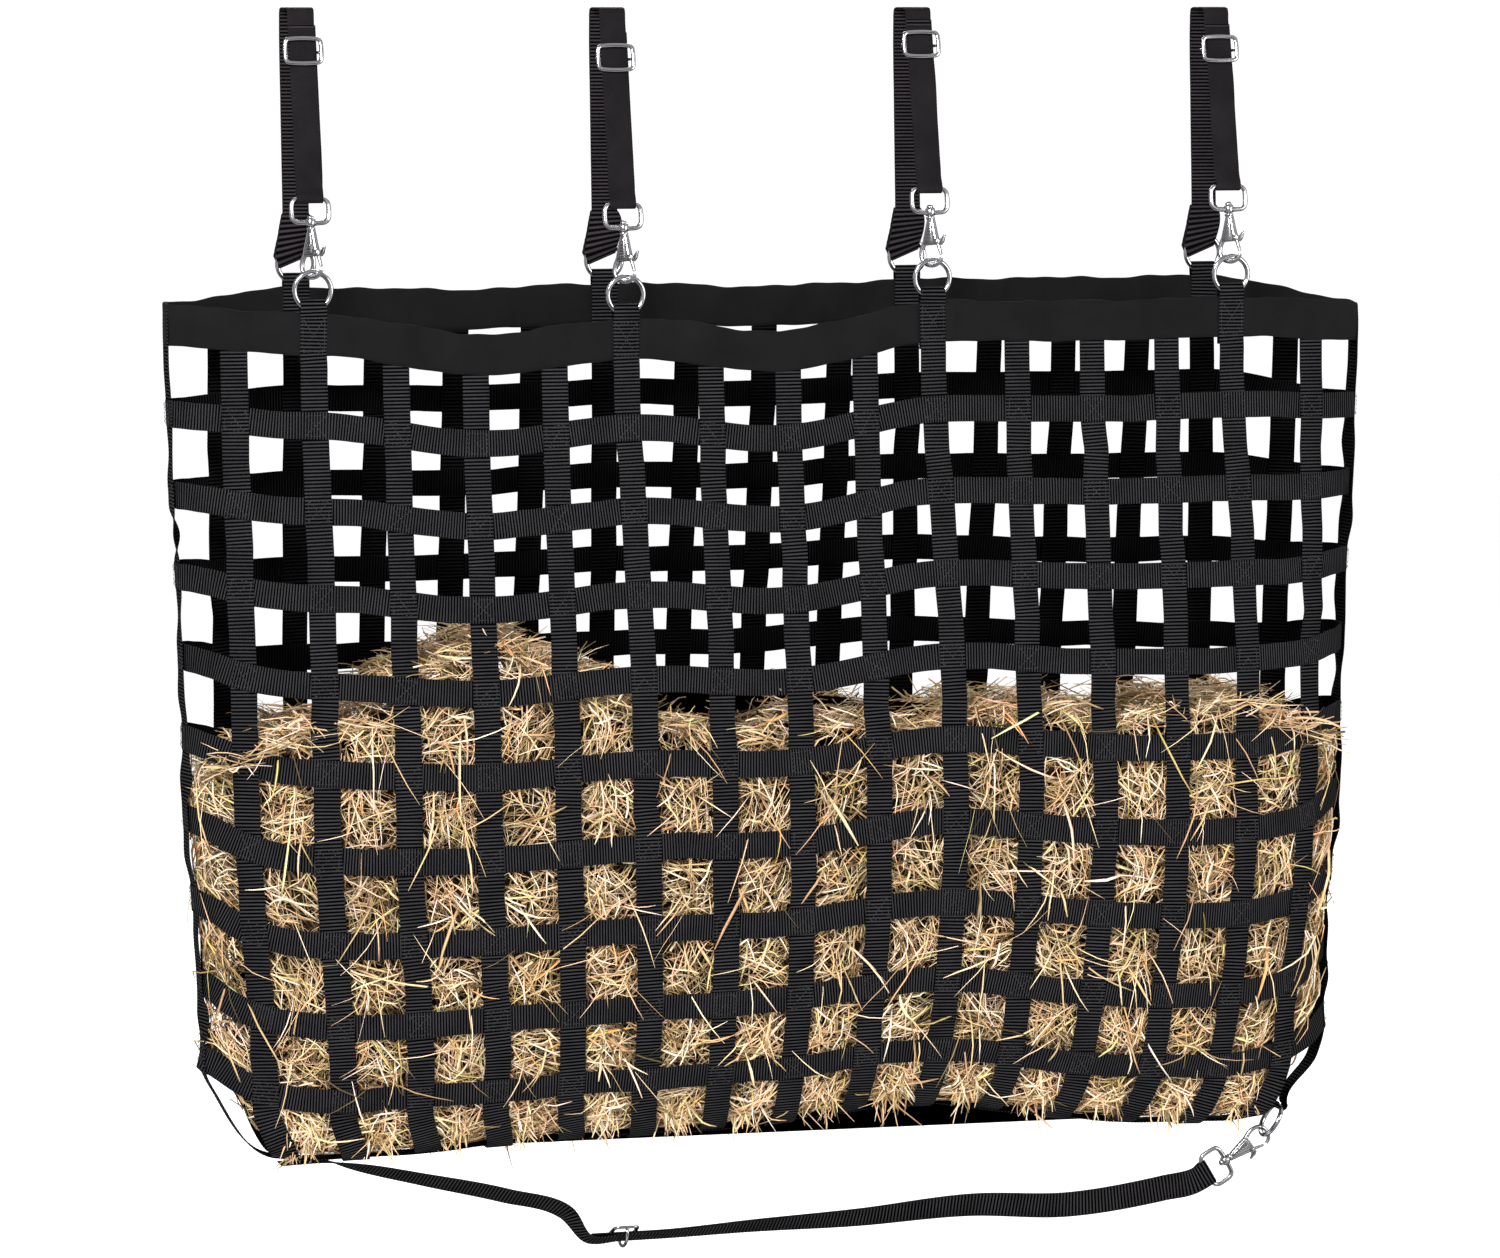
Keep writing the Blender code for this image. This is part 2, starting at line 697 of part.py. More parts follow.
def make_hanger(number):
    """One hanger, from its rear ring over the rail to the snap on its front ring."""
    index = HANGER_UPRIGHTS[number]
    label = number + 1
    ring_drop = Vector((0, 0, -RING_SLACK))
    front_pivot = fold_centre(index) + ring_drop
    rear_pivot = fold_centre(2 * UPRIGHTS - index) + ring_drop
    front_pivot.x = rear_pivot.x = (front_pivot.x + rear_pivot.x) / 2
    x = front_pivot.x
    across = Vector((1, 0, 0))

    place_hardware("ring", f"front_ring_{label}", "nickel", Matrix.Translation(front_pivot))
    place_hardware("ring", f"rear_ring_{label}", "nickel", Matrix.Translation(rear_pivot))

    ring_top = front_pivot.z + 2 * RING_RADIUS
    seat = Matrix.Translation((x, front_pivot.y, ring_top)) @ Matrix.Rotation(-SNAP_LEAN, 4, "X")
    lower_place = seat @ Matrix.Translation((0, 0, BOWL_BELOW_EYE - BOWL_BELOW_RING))
    eye_place = lower_place @ Matrix.Translation((0, 0, EYE_HEIGHT))
    eye_bar = eye_place.translation
    place_hardware("eye", f"swivel_eye_{label}", "zinc_cast", eye_place)
    hook_place = lower_place @ Matrix.Rotation(HOOK_TURN, 4, "Z")
    place_hardware("hook", f"snap_hook_{label}", "zinc_cast", hook_place)
    gate_place = hook_place @ Matrix.Translation((GATE_AT[0], 0, GATE_AT[1]))
    place_hardware("gate", f"snap_gate_{label}", "zinc_cast", gate_place)

    top = HEIGHT - WEB_THICK / 2
    half = RAIL_THICK / 2 + WEB_THICK / 2
    shoulder = Vector((x, RAIL_Y - half, top - RAIL_ROUND))
    leg = shoulder - eye_bar
    forward = leg.normalized().cross(across)
    if forward.y > 0:
        forward = -forward
    buckle_at = (top - BUCKLE_BELOW_TOP[number] - eye_bar.z) / leg.normalized().z
    stations = []
    for along, front in adjuster_profile(buckle_at):
        point = eye_bar + leg.normalized() * along + forward * front
        stations.append((point, across, WEB_WIDTH))
    rear_top = rear_pivot.z + 2 * RING_RADIUS
    wrap = RING_WIRE + GAP + WEB_THICK / 2 + REAR_WRAP_SLACK
    side_path = [
        (RAIL_Y - half, top - RAIL_ROUND),
        (RAIL_Y - half + RAIL_ROUND, top),
        (RAIL_Y + half - RAIL_ROUND, top),
        (RAIL_Y + half, top - RAIL_ROUND),
        (rear_pivot.y - 2 * MM, rear_top + FLARE_START),
    ]
    for y, z in side_path:
        stations.append((Vector((x, y, z)), across, WEB_WIDTH))
    fold = Vector((x, rear_pivot.y, rear_top - RING_SLACK))
    for step in range(7):
        angle = math.radians(180 + 30 * step)
        point = fold + Vector((0, math.cos(angle), math.sin(angle))) * wrap
        stations.append((point, across, FOLD_WIDTH))
    sewn_end = Vector((x, rear_pivot.y + 4 * MM, rear_top + REAR_TAIL))
    stations.append((sewn_end, across, WEB_WIDTH))
    pivot = Vector((x, rear_pivot.y, rear_top))
    ribbon(f"hanger_strap_{label}", stations, "strap_twill", origin=pivot)
    buckle_spot = eye_bar + leg.normalized() * buckle_at
    place = tangent_frame(buckle_spot, across, leg)
    if (place.to_3x3() @ Vector((0, 1, 0))).y < 0:
        place = place @ Matrix.Rotation(math.pi, 4, "Z")
    place_hardware("buckle", f"slide_buckle_{label}", "nickel", place)


# ---------------------------------------------------------------- bottom strap


def make_bottom_strap():
    """The strap under the net, sewn on at the left and clipped to the corner ring at the right."""
    pivot = corner_pivot()
    ring_line = Vector((-math.cos(CORNER_RING_SLOPE), 0, -math.sin(CORNER_RING_SLOPE)))
    lean = math.pi * 3 / 2 - CORNER_RING_SLOPE
    ring_place = Matrix.Translation(pivot) @ Matrix.Rotation(lean, 4, "Y") @ Matrix.Rotation(math.pi / 2, 4, "Z")
    place_hardware("ring", "corner_ring", "nickel", ring_place)

    pull = Vector((math.cos(SNAP_SLOPE), 0, math.sin(SNAP_SLOPE)))
    far_wire = pivot + ring_line * 2 * RING_RADIUS
    bowl = far_wire + pull * BOWL_BELOW_RING
    lower_bar = bowl - pull * BOWL_BELOW_EYE
    eye_bar = lower_bar - pull * EYE_HEIGHT
    down = Vector((math.sin(SNAP_SLOPE), 0, -math.cos(SNAP_SLOPE)))
    turn = Matrix((down, (-pull).cross(down), -pull)).transposed().to_4x4()
    place_hardware("eye", "bottom_swivel_eye", "zinc_cast", Matrix.Translation(eye_bar) @ turn)
    hook_place = Matrix.Translation(lower_bar) @ turn
    place_hardware("hook", "bottom_snap_hook", "zinc_cast", hook_place)
    gate_place = hook_place @ Matrix.Translation((GATE_AT[0], 0, GATE_AT[1]))
    place_hardware("gate", "bottom_snap_gate", "zinc_cast", gate_place)

    buckle = Vector((BUCKLE_X, 0, BUCKLE_Z))
    knots = bottom_centre_line(eye_bar, buckle)
    run = [0.0]
    for a, b in zip(knots, knots[1:]):
        run.append(run[-1] + (b[0] - a[0]).length)
    buckle_run = run[[k for k, knot in enumerate(knots) if knot[2] == "buckle"][0]]
    rear = bottom_layer(knots, run, pull, -LAYER, buckle_run + BOTTOM_TAIL)
    front = bottom_layer(knots, run, pull, LAYER, run[-1])
    side = -pull
    out = Vector((0, -1, 0))
    wrap = EYE_WRAP
    loop = []
    for step in range(7):
        angle = math.radians(-90 - 30 * step)
        point = eye_bar + side * wrap * math.cos(angle) + out * wrap * math.sin(angle)
        loop.append((point, down, WEB_WIDTH))
    ribbon("bottom_strap", rear[::-1] + loop + front, "strap_twill", origin=anchor_point())
    across = [knot[1] for knot in knots if knot[2] == "buckle"][0]
    place = tangent_frame(buckle, across, Vector((-1, 0, 0)))
    place_hardware("buckle", "bottom_slide_buckle", "nickel", place)


def bottom_centre_line(eye_bar, buckle):
    """(point, across, mark) from the eye to the sewn end, turning from upright to flat."""
    flat = math.radians(90)
    level = Vector((1, 0, 0))
    beside = Vector((BESIDE_BUCKLE, 0, 0))
    turned_at_buckle = BUCKLE_TILT / flat
    anchor = anchor_point()
    spots = [
        (eye_bar, 0.0, ""),
        (Vector((0.40, 0, eye_bar.z - 13 * MM)), 0.0, ""),
        (Vector((0.30, 0, eye_bar.z - 24 * MM)), 0.1, ""),
        (Vector((0.20, 0, 24 * MM)), 0.25, ""),
        (Vector((0.08, 0, 18 * MM)), 0.45, ""),
        (Vector((-0.02, 0, 16 * MM)), 0.6, ""),
        (buckle + beside, turned_at_buckle, "beside"),
        (buckle, turned_at_buckle, "buckle"),
        (buckle - beside, turned_at_buckle, "beside"),
        (Vector((-0.21, 0, 40 * MM)), 0.85, ""),
        (Vector((-0.27, 0, 60 * MM)), 0.95, ""),
        (Vector((-0.35, 0, 80 * MM)), 1.0, ""),
        (Vector((-0.42, 0, anchor.z - 5 * MM)), 1.0, "narrow"),
        (anchor + Vector((0.015, 0, 0)), 1.0, "narrow"),
        (anchor - Vector((0.04, 0, 0)), 1.0, "narrow"),
    ]
    knots = []
    for k, (point, turned, mark) in enumerate(spots):
        before = spots[max(k - 1, 0)][0]
        after = spots[min(k + 1, len(spots) - 1)][0]
        tangent = -level if mark in ("buckle", "beside") else (after - before).normalized()
        upright = Vector((0, 0, -1))
        upright = (upright - tangent * upright.dot(tangent)).normalized()
        sideways = tangent.cross(upright)
        if sideways.y < 0:
            sideways = -sideways
        angle = turned * flat
        knots.append((point, upright * math.cos(angle) + sideways * math.sin(angle), mark))
    return knots


def anchor_point():
    """Where the bottom strap is sewn on, under the left end of the net."""
    lowest = floor_point(-0.46).z - WEAVE - WEB_THICK / 2
    return Vector((-0.46, 0, lowest - ANCHOR_GAP - WEB_THICK / 2))


def bottom_layer(knots, run, pull, offset, end):
    """Stations of one layer of the doubled strap, offset from the centre line."""
    stations = []
    for k, (point, across, mark) in enumerate(knots):
        before = knots[max(k - 1, 0)][0]
        after = knots[min(k + 1, len(knots) - 1)][0]
        tangent = Vector((-1, 0, 0)) if mark in ("buckle", "beside") else (after - before).normalized()
        out = tangent.cross(across).normalized()
        if out.y > 0 or (abs(out.y) < 0.2 and out.z > 0):
            out = -out
        if run[k] > end:
            break
        if k == 0:
            point = point - pull * LOOP_START
            out = Vector((0, -1, 0))
        width = ANCHOR_WIDTH if mark == "narrow" else WEB_WIDTH
        stations.append((point + out * offset, across, width))
    return stations


for band in range(1, BANDS + 1):
    make_band(band)
for index in range(1, UPRIGHTS):
    make_upright(index)
make_side_strap()
make_rim()
for number in range(len(HANGER_UPRIGHTS)):
    make_hanger(number)
make_bottom_strap()
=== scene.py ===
"""Looks of the hay net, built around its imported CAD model.

Frame: +Z up, +X along the net, +Y to the rear, lengths in metres. The surface of the net is worked
out here again from its driving dimensions, at a finer step than the CAD model has.
"""

import json
import math
import bmesh
import bpy
import numpy as np
from mathutils import Matrix, Vector


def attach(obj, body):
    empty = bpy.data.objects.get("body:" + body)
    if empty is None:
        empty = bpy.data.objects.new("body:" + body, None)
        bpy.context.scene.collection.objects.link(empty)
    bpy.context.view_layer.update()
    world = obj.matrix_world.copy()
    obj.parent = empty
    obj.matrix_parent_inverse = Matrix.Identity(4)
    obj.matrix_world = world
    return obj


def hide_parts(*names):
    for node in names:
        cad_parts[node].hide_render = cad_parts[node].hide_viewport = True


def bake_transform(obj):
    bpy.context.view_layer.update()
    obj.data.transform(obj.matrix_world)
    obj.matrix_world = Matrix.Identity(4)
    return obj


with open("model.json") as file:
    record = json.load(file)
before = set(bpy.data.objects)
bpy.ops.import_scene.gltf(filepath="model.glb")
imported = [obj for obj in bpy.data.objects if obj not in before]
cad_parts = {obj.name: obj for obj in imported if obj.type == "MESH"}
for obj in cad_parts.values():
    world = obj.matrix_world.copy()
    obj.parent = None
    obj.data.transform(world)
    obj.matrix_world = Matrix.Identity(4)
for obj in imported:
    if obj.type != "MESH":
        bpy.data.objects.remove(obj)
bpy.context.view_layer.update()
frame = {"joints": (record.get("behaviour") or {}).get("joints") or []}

MM = 0.001
JOINTS = {joint["name"]: joint for joint in frame["joints"]}

# Driving dimensions of the net, the same as the CAD model's.
PITCH = 76.2 * MM
WEB_WIDTH = 25.4 * MM
UPRIGHTS = 16
ROUND = 2 * UPRIGHTS
BANDS = 9
RIM_DEPTH = 38.1 * MM
HEIGHT = 1193 * MM
MOUTH_HALF = 41 * MM
BELLY_HALF = 95 * MM
BELLY_LEVEL = 0.50
FIRST_BAND = RIM_DEPTH + PITCH - WEB_WIDTH / 2
BOTTOM_LEVEL = FIRST_BAND + BANDS * PITCH
BOTTOM_LIFT = 20 * MM
CORNER_GATHER = 0.045
FLOOR_DRAW = 0.955
HANGER_UPRIGHTS = (2, 6, 10, 14)
HANGER_DROPS = (261 * MM, 269 * MM, 257 * MM, 257 * MM)
HANGER_SHIFT = (-2 * MM, -7 * MM, -9 * MM, -10 * MM)
SHIFT_FADE = 0.35
BUCKLE_BELOW_TOP = (40 * MM, 47 * MM, 35 * MM, 40 * MM)
BAY_SAG = (17 * MM, 20 * MM, 2 * MM)
END_DROPS = (274 * MM, 287 * MM)
REAR_RIM_DROP = 262 * MM
RAIL_THICK = 38 * MM
RAIL_Y = 27 * MM
RING_RADIUS = 17.6 * MM
RING_WIRE = 2.4 * MM
FOLD_RISE = 5.5 * MM

# The visible webbing.
WEB_THICK = 1.3 * MM
TAB_LEG = 2.35 * MM
WEAVE = 0.95 * MM
RIB_PITCH = 3.4 * MM
RIB_HEIGHT = 0.24 * MM
RIB_STEPS = 5
BAND_RIB_PITCH = 2.75 * MM
PATCH = 13 * MM
PATCH_SHARE = PATCH / PITCH


# ---------------------------------------------------------------- shape of the net


def smooth(value):
    value = np.clip(value, 0.0, 1.0)
    return value * value * (3 - 2 * value)


def vec(x=0.0, y=0.0, z=0.0):
    return np.array([x, y, z], float)


def unit(vectors):
    vectors = np.asarray(vectors, float)
    return vectors / np.maximum(np.linalg.norm(vectors, axis=-1, keepdims=True), 1e-12)


def half_depth(level):
    """Half the bag's front-to-rear depth at a distance below the rim."""
    growth = MOUTH_HALF + (BELLY_HALF - MOUTH_HALF) * smooth(level / BELLY_LEVEL)
    closing = np.clip((level - BELLY_LEVEL) / (BOTTOM_LEVEL - BELLY_LEVEL), 0.0, 1.0)
    return growth * (1 - closing**2) ** 0.55


def bluntness(level):
    return 12 - 7 * smooth(level / BELLY_LEVEL)


def section_curve(half_width, level):
    across = np.sin(np.linspace(-math.pi / 2, math.pi / 2, 301))
    x = half_width * across
    y = half_depth(level) * (1 - np.abs(across) ** bluntness(level)) ** 0.65
    run = np.concatenate([[0], np.cumsum(np.hypot(np.diff(x), np.diff(y)))])
    return x, y, run


def make_sections(levels, steps):
    """Tables of x and y over level and steps along one panel."""
    table_x, table_y = [], []
    panel = UPRIGHTS * PITCH
    for level in levels:
        half_width = panel / 2
        for _ in range(12):
            x, y, run = section_curve(half_width, level)
            half_width += (panel - run[-1]) / 2
        half_width *= 1 - CORNER_GATHER * smooth((level - 0.45) / 0.3)
        x, y, run = section_curve(half_width, level)
        run = run * panel / run[-1]
        table_x.append(np.interp(steps * PITCH, run, x))
        table_y.append(np.interp(steps * PITCH, run, y))
    return np.array(table_x), np.array(table_y)


LEVELS = np.linspace(0.0, BOTTOM_LEVEL, 240)
STEPS = np.linspace(0.0, UPRIGHTS, UPRIGHTS * 16 + 1)
SECTION_X, SECTION_Y = make_sections(LEVELS, STEPS)


def lookup(table, level, step):
    row = np.clip(level / LEVELS[1], 0, len(LEVELS) - 1.0001)
    column = np.clip(step / STEPS[1], 0, len(STEPS) - 1.0001)
    i = row.astype(int)
    j = column.astype(int)
    u = row - i
    v = column - j
    low = table[i, j] * (1 - v) + table[i, j + 1] * v
    high = table[i + 1, j] * (1 - v) + table[i + 1, j + 1] * v
    return low * (1 - u) + high * u


HANGER_X = np.array([(i - UPRIGHTS / 2) * PITCH for i in HANGER_UPRIGHTS])


def rim_height(x, front):
    """Top edge of the rim, lower between the front rings and nearly level behind."""
    knots_x = np.concatenate([[-0.594], HANGER_X, [0.594]])
    tops = [HEIGHT - drop - RING_RADIUS + 0.6 * MM - FOLD_RISE for drop in HANGER_DROPS]
    front_z = np.array([HEIGHT - END_DROPS[0], *tops, HEIGHT - END_DROPS[1]])
    rear_z = front_z.copy()
    rear_z[1:-1] = HEIGHT - REAR_RIM_DROP
    k = np.clip(np.searchsorted(knots_x, x) - 1, 0, len(knots_x) - 2)
    share = smooth((x - knots_x[k]) / (knots_x[k + 1] - knots_x[k]))
    height = np.where(
        front,
        front_z[k] + (front_z[k + 1] - front_z[k]) * share,
        rear_z[k] + (rear_z[k + 1] - rear_z[k]) * share,
    )
    for left, right, sag in zip(HANGER_X, HANGER_X[1:], BAY_SAG):
        inside = (x > left) & (x < right)
        dip = sag * np.sin(math.pi * (x - left) / (right - left)) ** 2
        height = height - np.where(inside, np.where(front, dip, 0.25 * dip), 0.0)
    return height


def floor_height(x):
    hump = 18 * MM * np.exp(-(((x - 0.14) / 0.12) ** 2))
    sides = 46 * MM * np.minimum(1.0, np.abs(x) / 0.565) ** 16
    droop = -14 * MM * np.minimum(1.0, np.abs(x) / 0.42) ** 2
    return HEIGHT - 311 * MM - 0.01 * x + hump + sides + droop


def top_and_lift(x, level, front):
    settle = smooth(level / 0.75)
    top = (1 - settle) * rim_height(x, front) + settle * floor_height(x)
    slack = np.maximum(0.0, (level - 0.55) / (BOTTOM_LEVEL - 0.55))
    return top + BOTTOM_LIFT * slack**3


def surface(around, level):
    """Points of the net. around counts uprights: 0 left side, 1 to 15 front, 16 right, then the rear."""
    around, level = np.broadcast_arrays(np.mod(around, ROUND).astype(float), level)
    front = around <= UPRIGHTS
    step = np.where(front, around, ROUND - around)
    x = lookup(SECTION_X, level, step)
    y = lookup(SECTION_Y, level, step)
    z = top_and_lift(x, level, front) - level
    return np.stack([x, np.where(front, -y, y), z], axis=-1)


def axes(around, level):
    """Centres and unit directions along, up and out of the net's surface."""
    around, level = np.broadcast_arrays(np.asarray(around, float), np.asarray(level, float))
    left = surface(around - PATCH_SHARE, level)
    right = surface(around + PATCH_SHARE, level)
    above = surface(around, np.maximum(level - PATCH, 0))
    below = surface(around, level + PATCH)
    along = unit(right - left)
    out = unit(np.cross(below - above, along))
    up = unit(np.cross(along, out))
    up = up * np.where(up[..., 2:] < 0, -1, 1)
    return (left + right) / 2, along, up, out


def axes_at(around, level):
    """Centre, along, up and out of one place."""
    return tuple(v[0] for v in axes([around], [level]))


def hanger_shift(index, level):
    """How far an upright is pulled sideways near the rim by the ring it holds."""
    if index not in HANGER_UPRIGHTS:
        return 0.0
    return HANGER_SHIFT[HANGER_UPRIGHTS.index(index)] * (1 - float(smooth(level / SHIFT_FADE)))


def upright_index(around):
    return min(around, ROUND - around)


def band_level(band):
    return FIRST_BAND + (band - 1) * PITCH


def sign(around, band):
    return 1 if (around + band) % 2 == 0 else -1


def floor_point(x):
    x = np.asarray(x, float)
    return np.stack([x, np.zeros_like(x), floor_height(x) - BOTTOM_LEVEL + BOTTOM_LIFT], axis=-1)


def floor_patch(index):
    """Centre, lengthwise and upward direction where an upright crosses the bottom."""
    x = FLOOR_DRAW * float(axes(index, band_level(BANDS))[0][0])
    left = floor_point(x - PATCH)
    right = floor_point(x + PATCH)
    along = unit(right - left)
    return (left + right) / 2, along, np.array([-along[2], 0, along[0]])


# ---------------------------------------------------------------- mesh building


def linked(name, data):
    """A new object in the scene."""
    obj = bpy.data.objects.new(name, data)
    bpy.context.scene.collection.objects.link(obj)
    return obj


def mesh_object(name, points, quads, polygons=(), material=None):
    """An object from arrays of points and quads, and a few larger polygons such as caps."""
    quads = np.asarray(quads, np.int32).reshape(-1, 4)
    extra = [np.asarray(p, np.int32) for p in polygons]
    loops = np.concatenate([quads.ravel(), *extra]) if extra else quads.ravel()
    sizes = np.concatenate([np.full(len(quads), 4), [len(p) for p in extra]]).astype(np.int32)
    starts = np.concatenate([[0], np.cumsum(sizes)[:-1]]).astype(np.int32)
    mesh = bpy.data.meshes.new(name)
    mesh.vertices.add(len(points))
    mesh.vertices.foreach_set("co", np.asarray(points, np.float32).ravel())
    mesh.loops.add(len(loops))
    mesh.loops.foreach_set("vertex_index", loops.astype(np.int32))
    mesh.polygons.add(len(sizes))
    mesh.polygons.foreach_set("loop_start", starts)
    mesh.polygons.foreach_set("use_smooth", np.full(len(sizes), True))
    mesh.update(calc_edges=True)
    if material is not None:
        mesh.materials.append(material)
    return linked(name, mesh)


def skin(rows, closed=False):
    """Quads and end caps over rows of outline points, wound so that they face outwards."""
    n, m = rows.shape[:2]
    i = np.arange(n if closed else n - 1)[:, None]
    j = np.arange(m)[None]
    here, after = i * m, ((i + 1) % n) * m
    quads = np.stack([here + j, here + (j + 1) % m, after + (j + 1) % m, after + j], axis=-1)
    quads = quads.reshape(-1, 4)
    caps = [] if closed else [np.arange(m)[::-1], np.arange((n - 1) * m, n * m)]
    points = rows.reshape(-1, 3)
    p, q, r, s = (points[quads[:, k]] for k in range(4))
    volume = np.einsum("ij,ij->i", p, np.cross(q, r) + np.cross(r, s)).sum()
    if volume < 0:
        quads = quads[:, ::-1]
        caps = [cap[::-1] for cap in caps]
    return points, quads, caps


def point_attribute(obj, name, values):
    values = np.asarray(values, np.float32)
    kind = "FLOAT" if values.ndim == 1 else "FLOAT_VECTOR"
    attribute = obj.data.attributes.new(name, kind, "POINT")
    attribute.data.foreach_set("value" if values.ndim == 1 else "vector", values.ravel())


def hermite(columns, closed=False, samples=16):
    """Smooth curve through rows of columns, whose first three are the point. Dense samples."""
    rows = np.asarray(columns, float)
    if closed:
        rows = np.vstack([rows[-2:], rows, rows[:3]])
    gaps = np.maximum(np.linalg.norm(np.diff(rows[:, :3], axis=0), axis=1), 1e-9)
    slopes = np.diff(rows, axis=0) / gaps[:, None]
    tangents = np.empty_like(rows)
    before, after = gaps[:-1, None], gaps[1:, None]
    tangents[1:-1] = (slopes[:-1] * after + slopes[1:] * before) / (before + after)
    tangents[0], tangents[-1] = slopes[0], slopes[-1]
    t = np.linspace(0, 1, samples, endpoint=False)[:, None]
    shares = (2 * t**3 - 3 * t**2 + 1, t**3 - 2 * t**2 + t, -2 * t**3 + 3 * t**2, t**3 - t**2)
    pieces = []
    for k in range(len(rows) - 1):
        pieces.append(
            shares[0] * rows[k]
            + shares[1] * gaps[k] * tangents[k]
            + shares[2] * rows[k + 1]
            + shares[3] * gaps[k] * tangents[k + 1]
        )
    dense = np.vstack([*pieces, rows[-1:]])
    return dense[2 * samples : -2 * samples] if closed else dense


def resample(dense, spacing, closed=False, multiple=1):
    """Rows at even steps along the curve, as many as a multiple of the given number."""
    run = np.concatenate([[0], np.cumsum(np.linalg.norm(np.diff(dense[:, :3], axis=0), axis=1))])
    count = max(multiple, int(round(run[-1] / spacing / multiple)) * multiple)
    at = np.linspace(0, run[-1], count + 1)
    rows = np.stack([np.interp(at, run, dense[:, c]) for c in range(dense.shape[1])], axis=1)
    return (rows[:-1], at[:-1]) if closed else (rows, at)


def tangents_of(points, closed):
    """Unit direction along a curve at each of its points."""
    if closed:
        return unit(np.roll(points, -1, axis=0) - np.roll(points, 1, axis=0))
    return unit(np.gradient(points, axis=0))


# A direction that no wire runs along, to start the frames of a tube from.
ANY_SLANT = (0.31, 0.83, 0.46)

# Outline of a webbing strap: share of the half width, share of the half thickness, share of a rib.
WEB_OUTLINE = np.array(
    [
        (-0.985, 0.66, 0.5),
        (-0.94, 1.0, 1.0),
        (0.94, 1.0, 1.0),
        (0.985, 0.66, 0.5),
        (1.0, 0.0, 0.2),
        (0.985, -0.66, -0.5),
        (0.94, -1.0, -1.0),
        (-0.94, -1.0, -1.0),
        (-0.985, -0.66, -0.5),
        (-1.0, 0.0, -0.2),
    ]
)


def ribbon(name, stations, material, closed=False, ribs=(1.0, 1.0), rib_pitch=RIB_PITCH):
    """A strap through stations (point, direction across, width), with woven ribs.

    ribs gives the share of the rib height on the outer and on the inner face.
    """
    columns = [np.concatenate([point, unit(across) * width]) for point, across, width in stations]
    for k in range(1, len(columns)):
        if columns[k][3:6] @ columns[k - 1][3:6] < 0:
            columns[k][3:6] *= -1
    rows, at = resample(hermite(columns, closed), rib_pitch / RIB_STEPS, closed, RIB_STEPS)
    centre, across = rows[:, :3], rows[:, 3:6]
    tangent = tangents_of(centre, closed)
    width = np.linalg.norm(across, axis=1)
    across = unit(across - tangent * (across * tangent).sum(1, keepdims=True))
    out = np.cross(tangent, across)
    phase = np.arange(len(rows)) % RIB_STEPS / RIB_STEPS
    wave = np.abs(np.sin(math.pi * phase)) * 2 - 1.2
    share_w, share_h, share_rib = WEB_OUTLINE.T
    rib = np.where(share_rib > 0, share_rib * ribs[0], share_rib * ribs[1])
    height = share_h * WEB_THICK / 2 + RIB_HEIGHT * 0.5 * wave[:, None] * rib
    spread = share_w * width[:, None] / 2 * (1 + 0.006 * wave[:, None] * (np.abs(share_w) > 0.97))
    points = centre[:, None] + across[:, None] * spread[..., None] + out[:, None] * height[..., None]
    obj = mesh_object(name, *skin(points, closed), material)
    face = np.broadcast_to(np.sign(share_h), spread.shape)
    run = np.broadcast_to(at[:, None], spread.shape)
    point_attribute(obj, "weave", np.stack([run, spread, face], axis=-1).reshape(-1, 3))
    # relief is the rib height; the webbing material paints highlights on the crests and shade in the grooves
    # from it.
    point_attribute(obj, "relief", np.broadcast_to(wave[:, None], spread.shape).ravel())
    return obj


def carried_side(tangent, closed):
    """A direction square to the curve, carried along it without twist; a closed curve shares the rest."""
    side = unit(np.cross(tangent[0], ANY_SLANT))
    frames = []
    for direction in tangent:
        side = unit(side - direction * (side @ direction))
        frames.append(side)
    side = np.array(frames)
    if not closed:
        return side
    closing = np.linspace(0, 1, len(side), endpoint=False)[:, None]
    last = unit(side[-1] - tangent[0] * (side[-1] @ tangent[0]))
    turn = math.atan2(np.cross(last, side[0]) @ tangent[0], last @ side[0])
    other = np.cross(tangent, side)
    return side * np.cos(turn * closing) + other * np.sin(turn * closing)


def tube(name, points, radius, material, closed=False, sides=20, spacing=0.6 * MM):
    """A round wire through points; the radius may change from point to point."""
    radii = np.broadcast_to(np.asarray(radius, float), (len(points),))
    columns = np.column_stack([np.asarray(points, float), radii])
    dense = hermite(columns, closed)
    rows, _ = resample(dense, spacing, closed)
    centre = rows[:, :3]
    tangent = tangents_of(centre, closed)
    side = carried_side(tangent, closed)
    other = np.cross(tangent, side)
    angle = np.linspace(0, 2 * math.pi, sides, endpoint=False)
    ring = side[:, None] * np.cos(angle)[None, :, None] + other[:, None] * np.sin(angle)[None, :, None]
    points = centre[:, None] + ring * rows[:, 3][:, None, None]
    return mesh_object(name, *skin(points, closed), material)


def three_sided(count, knots):
    """Quads and end caps of closed three-sided prisms, with three points at each knot."""
    first = np.arange(count)[:, None, None] * knots * 3 + np.arange(knots - 1)[None, :, None] * 3
    here = first + np.arange(3)
    there = first + (np.arange(3) + 1) % 3
    quads = np.stack([here, there, there + 3, here + 3], axis=-1).reshape(-1, 4)
    start = np.arange(count)[:, None] * knots * 3
    caps = np.vstack([start + np.array([2, 1, 0]), start + (knots - 1) * 3 + np.arange(3)])
    return quads, list(caps)


def join(name, objects):
    """One object from several, keeping their materials and attributes."""
    first = objects[0]
    with bpy.context.temp_override(
        active_object=first, selected_editable_objects=objects, selected_objects=objects
    ):
        bpy.ops.object.join()
    first.name = name
    first.data.name = name
    return first


def place(obj, matrix):
    """Moves the mesh itself, so that the object stays at the origin."""
    obj.data.transform(matrix)
    obj.data.update()
    return obj


def finish_piece(obj, body, slot, *nodes, bend=None):
    """Puts a piece on its body. With bend given it is put on no body and its placement is baked into its
    mesh; the ends in bend are not used.
    """
    if bend is None:
        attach(obj, body)
    else:
        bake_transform(obj)
    if nodes:
        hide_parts(*nodes)
    return obj


# ---------------------------------------------------------------- materials


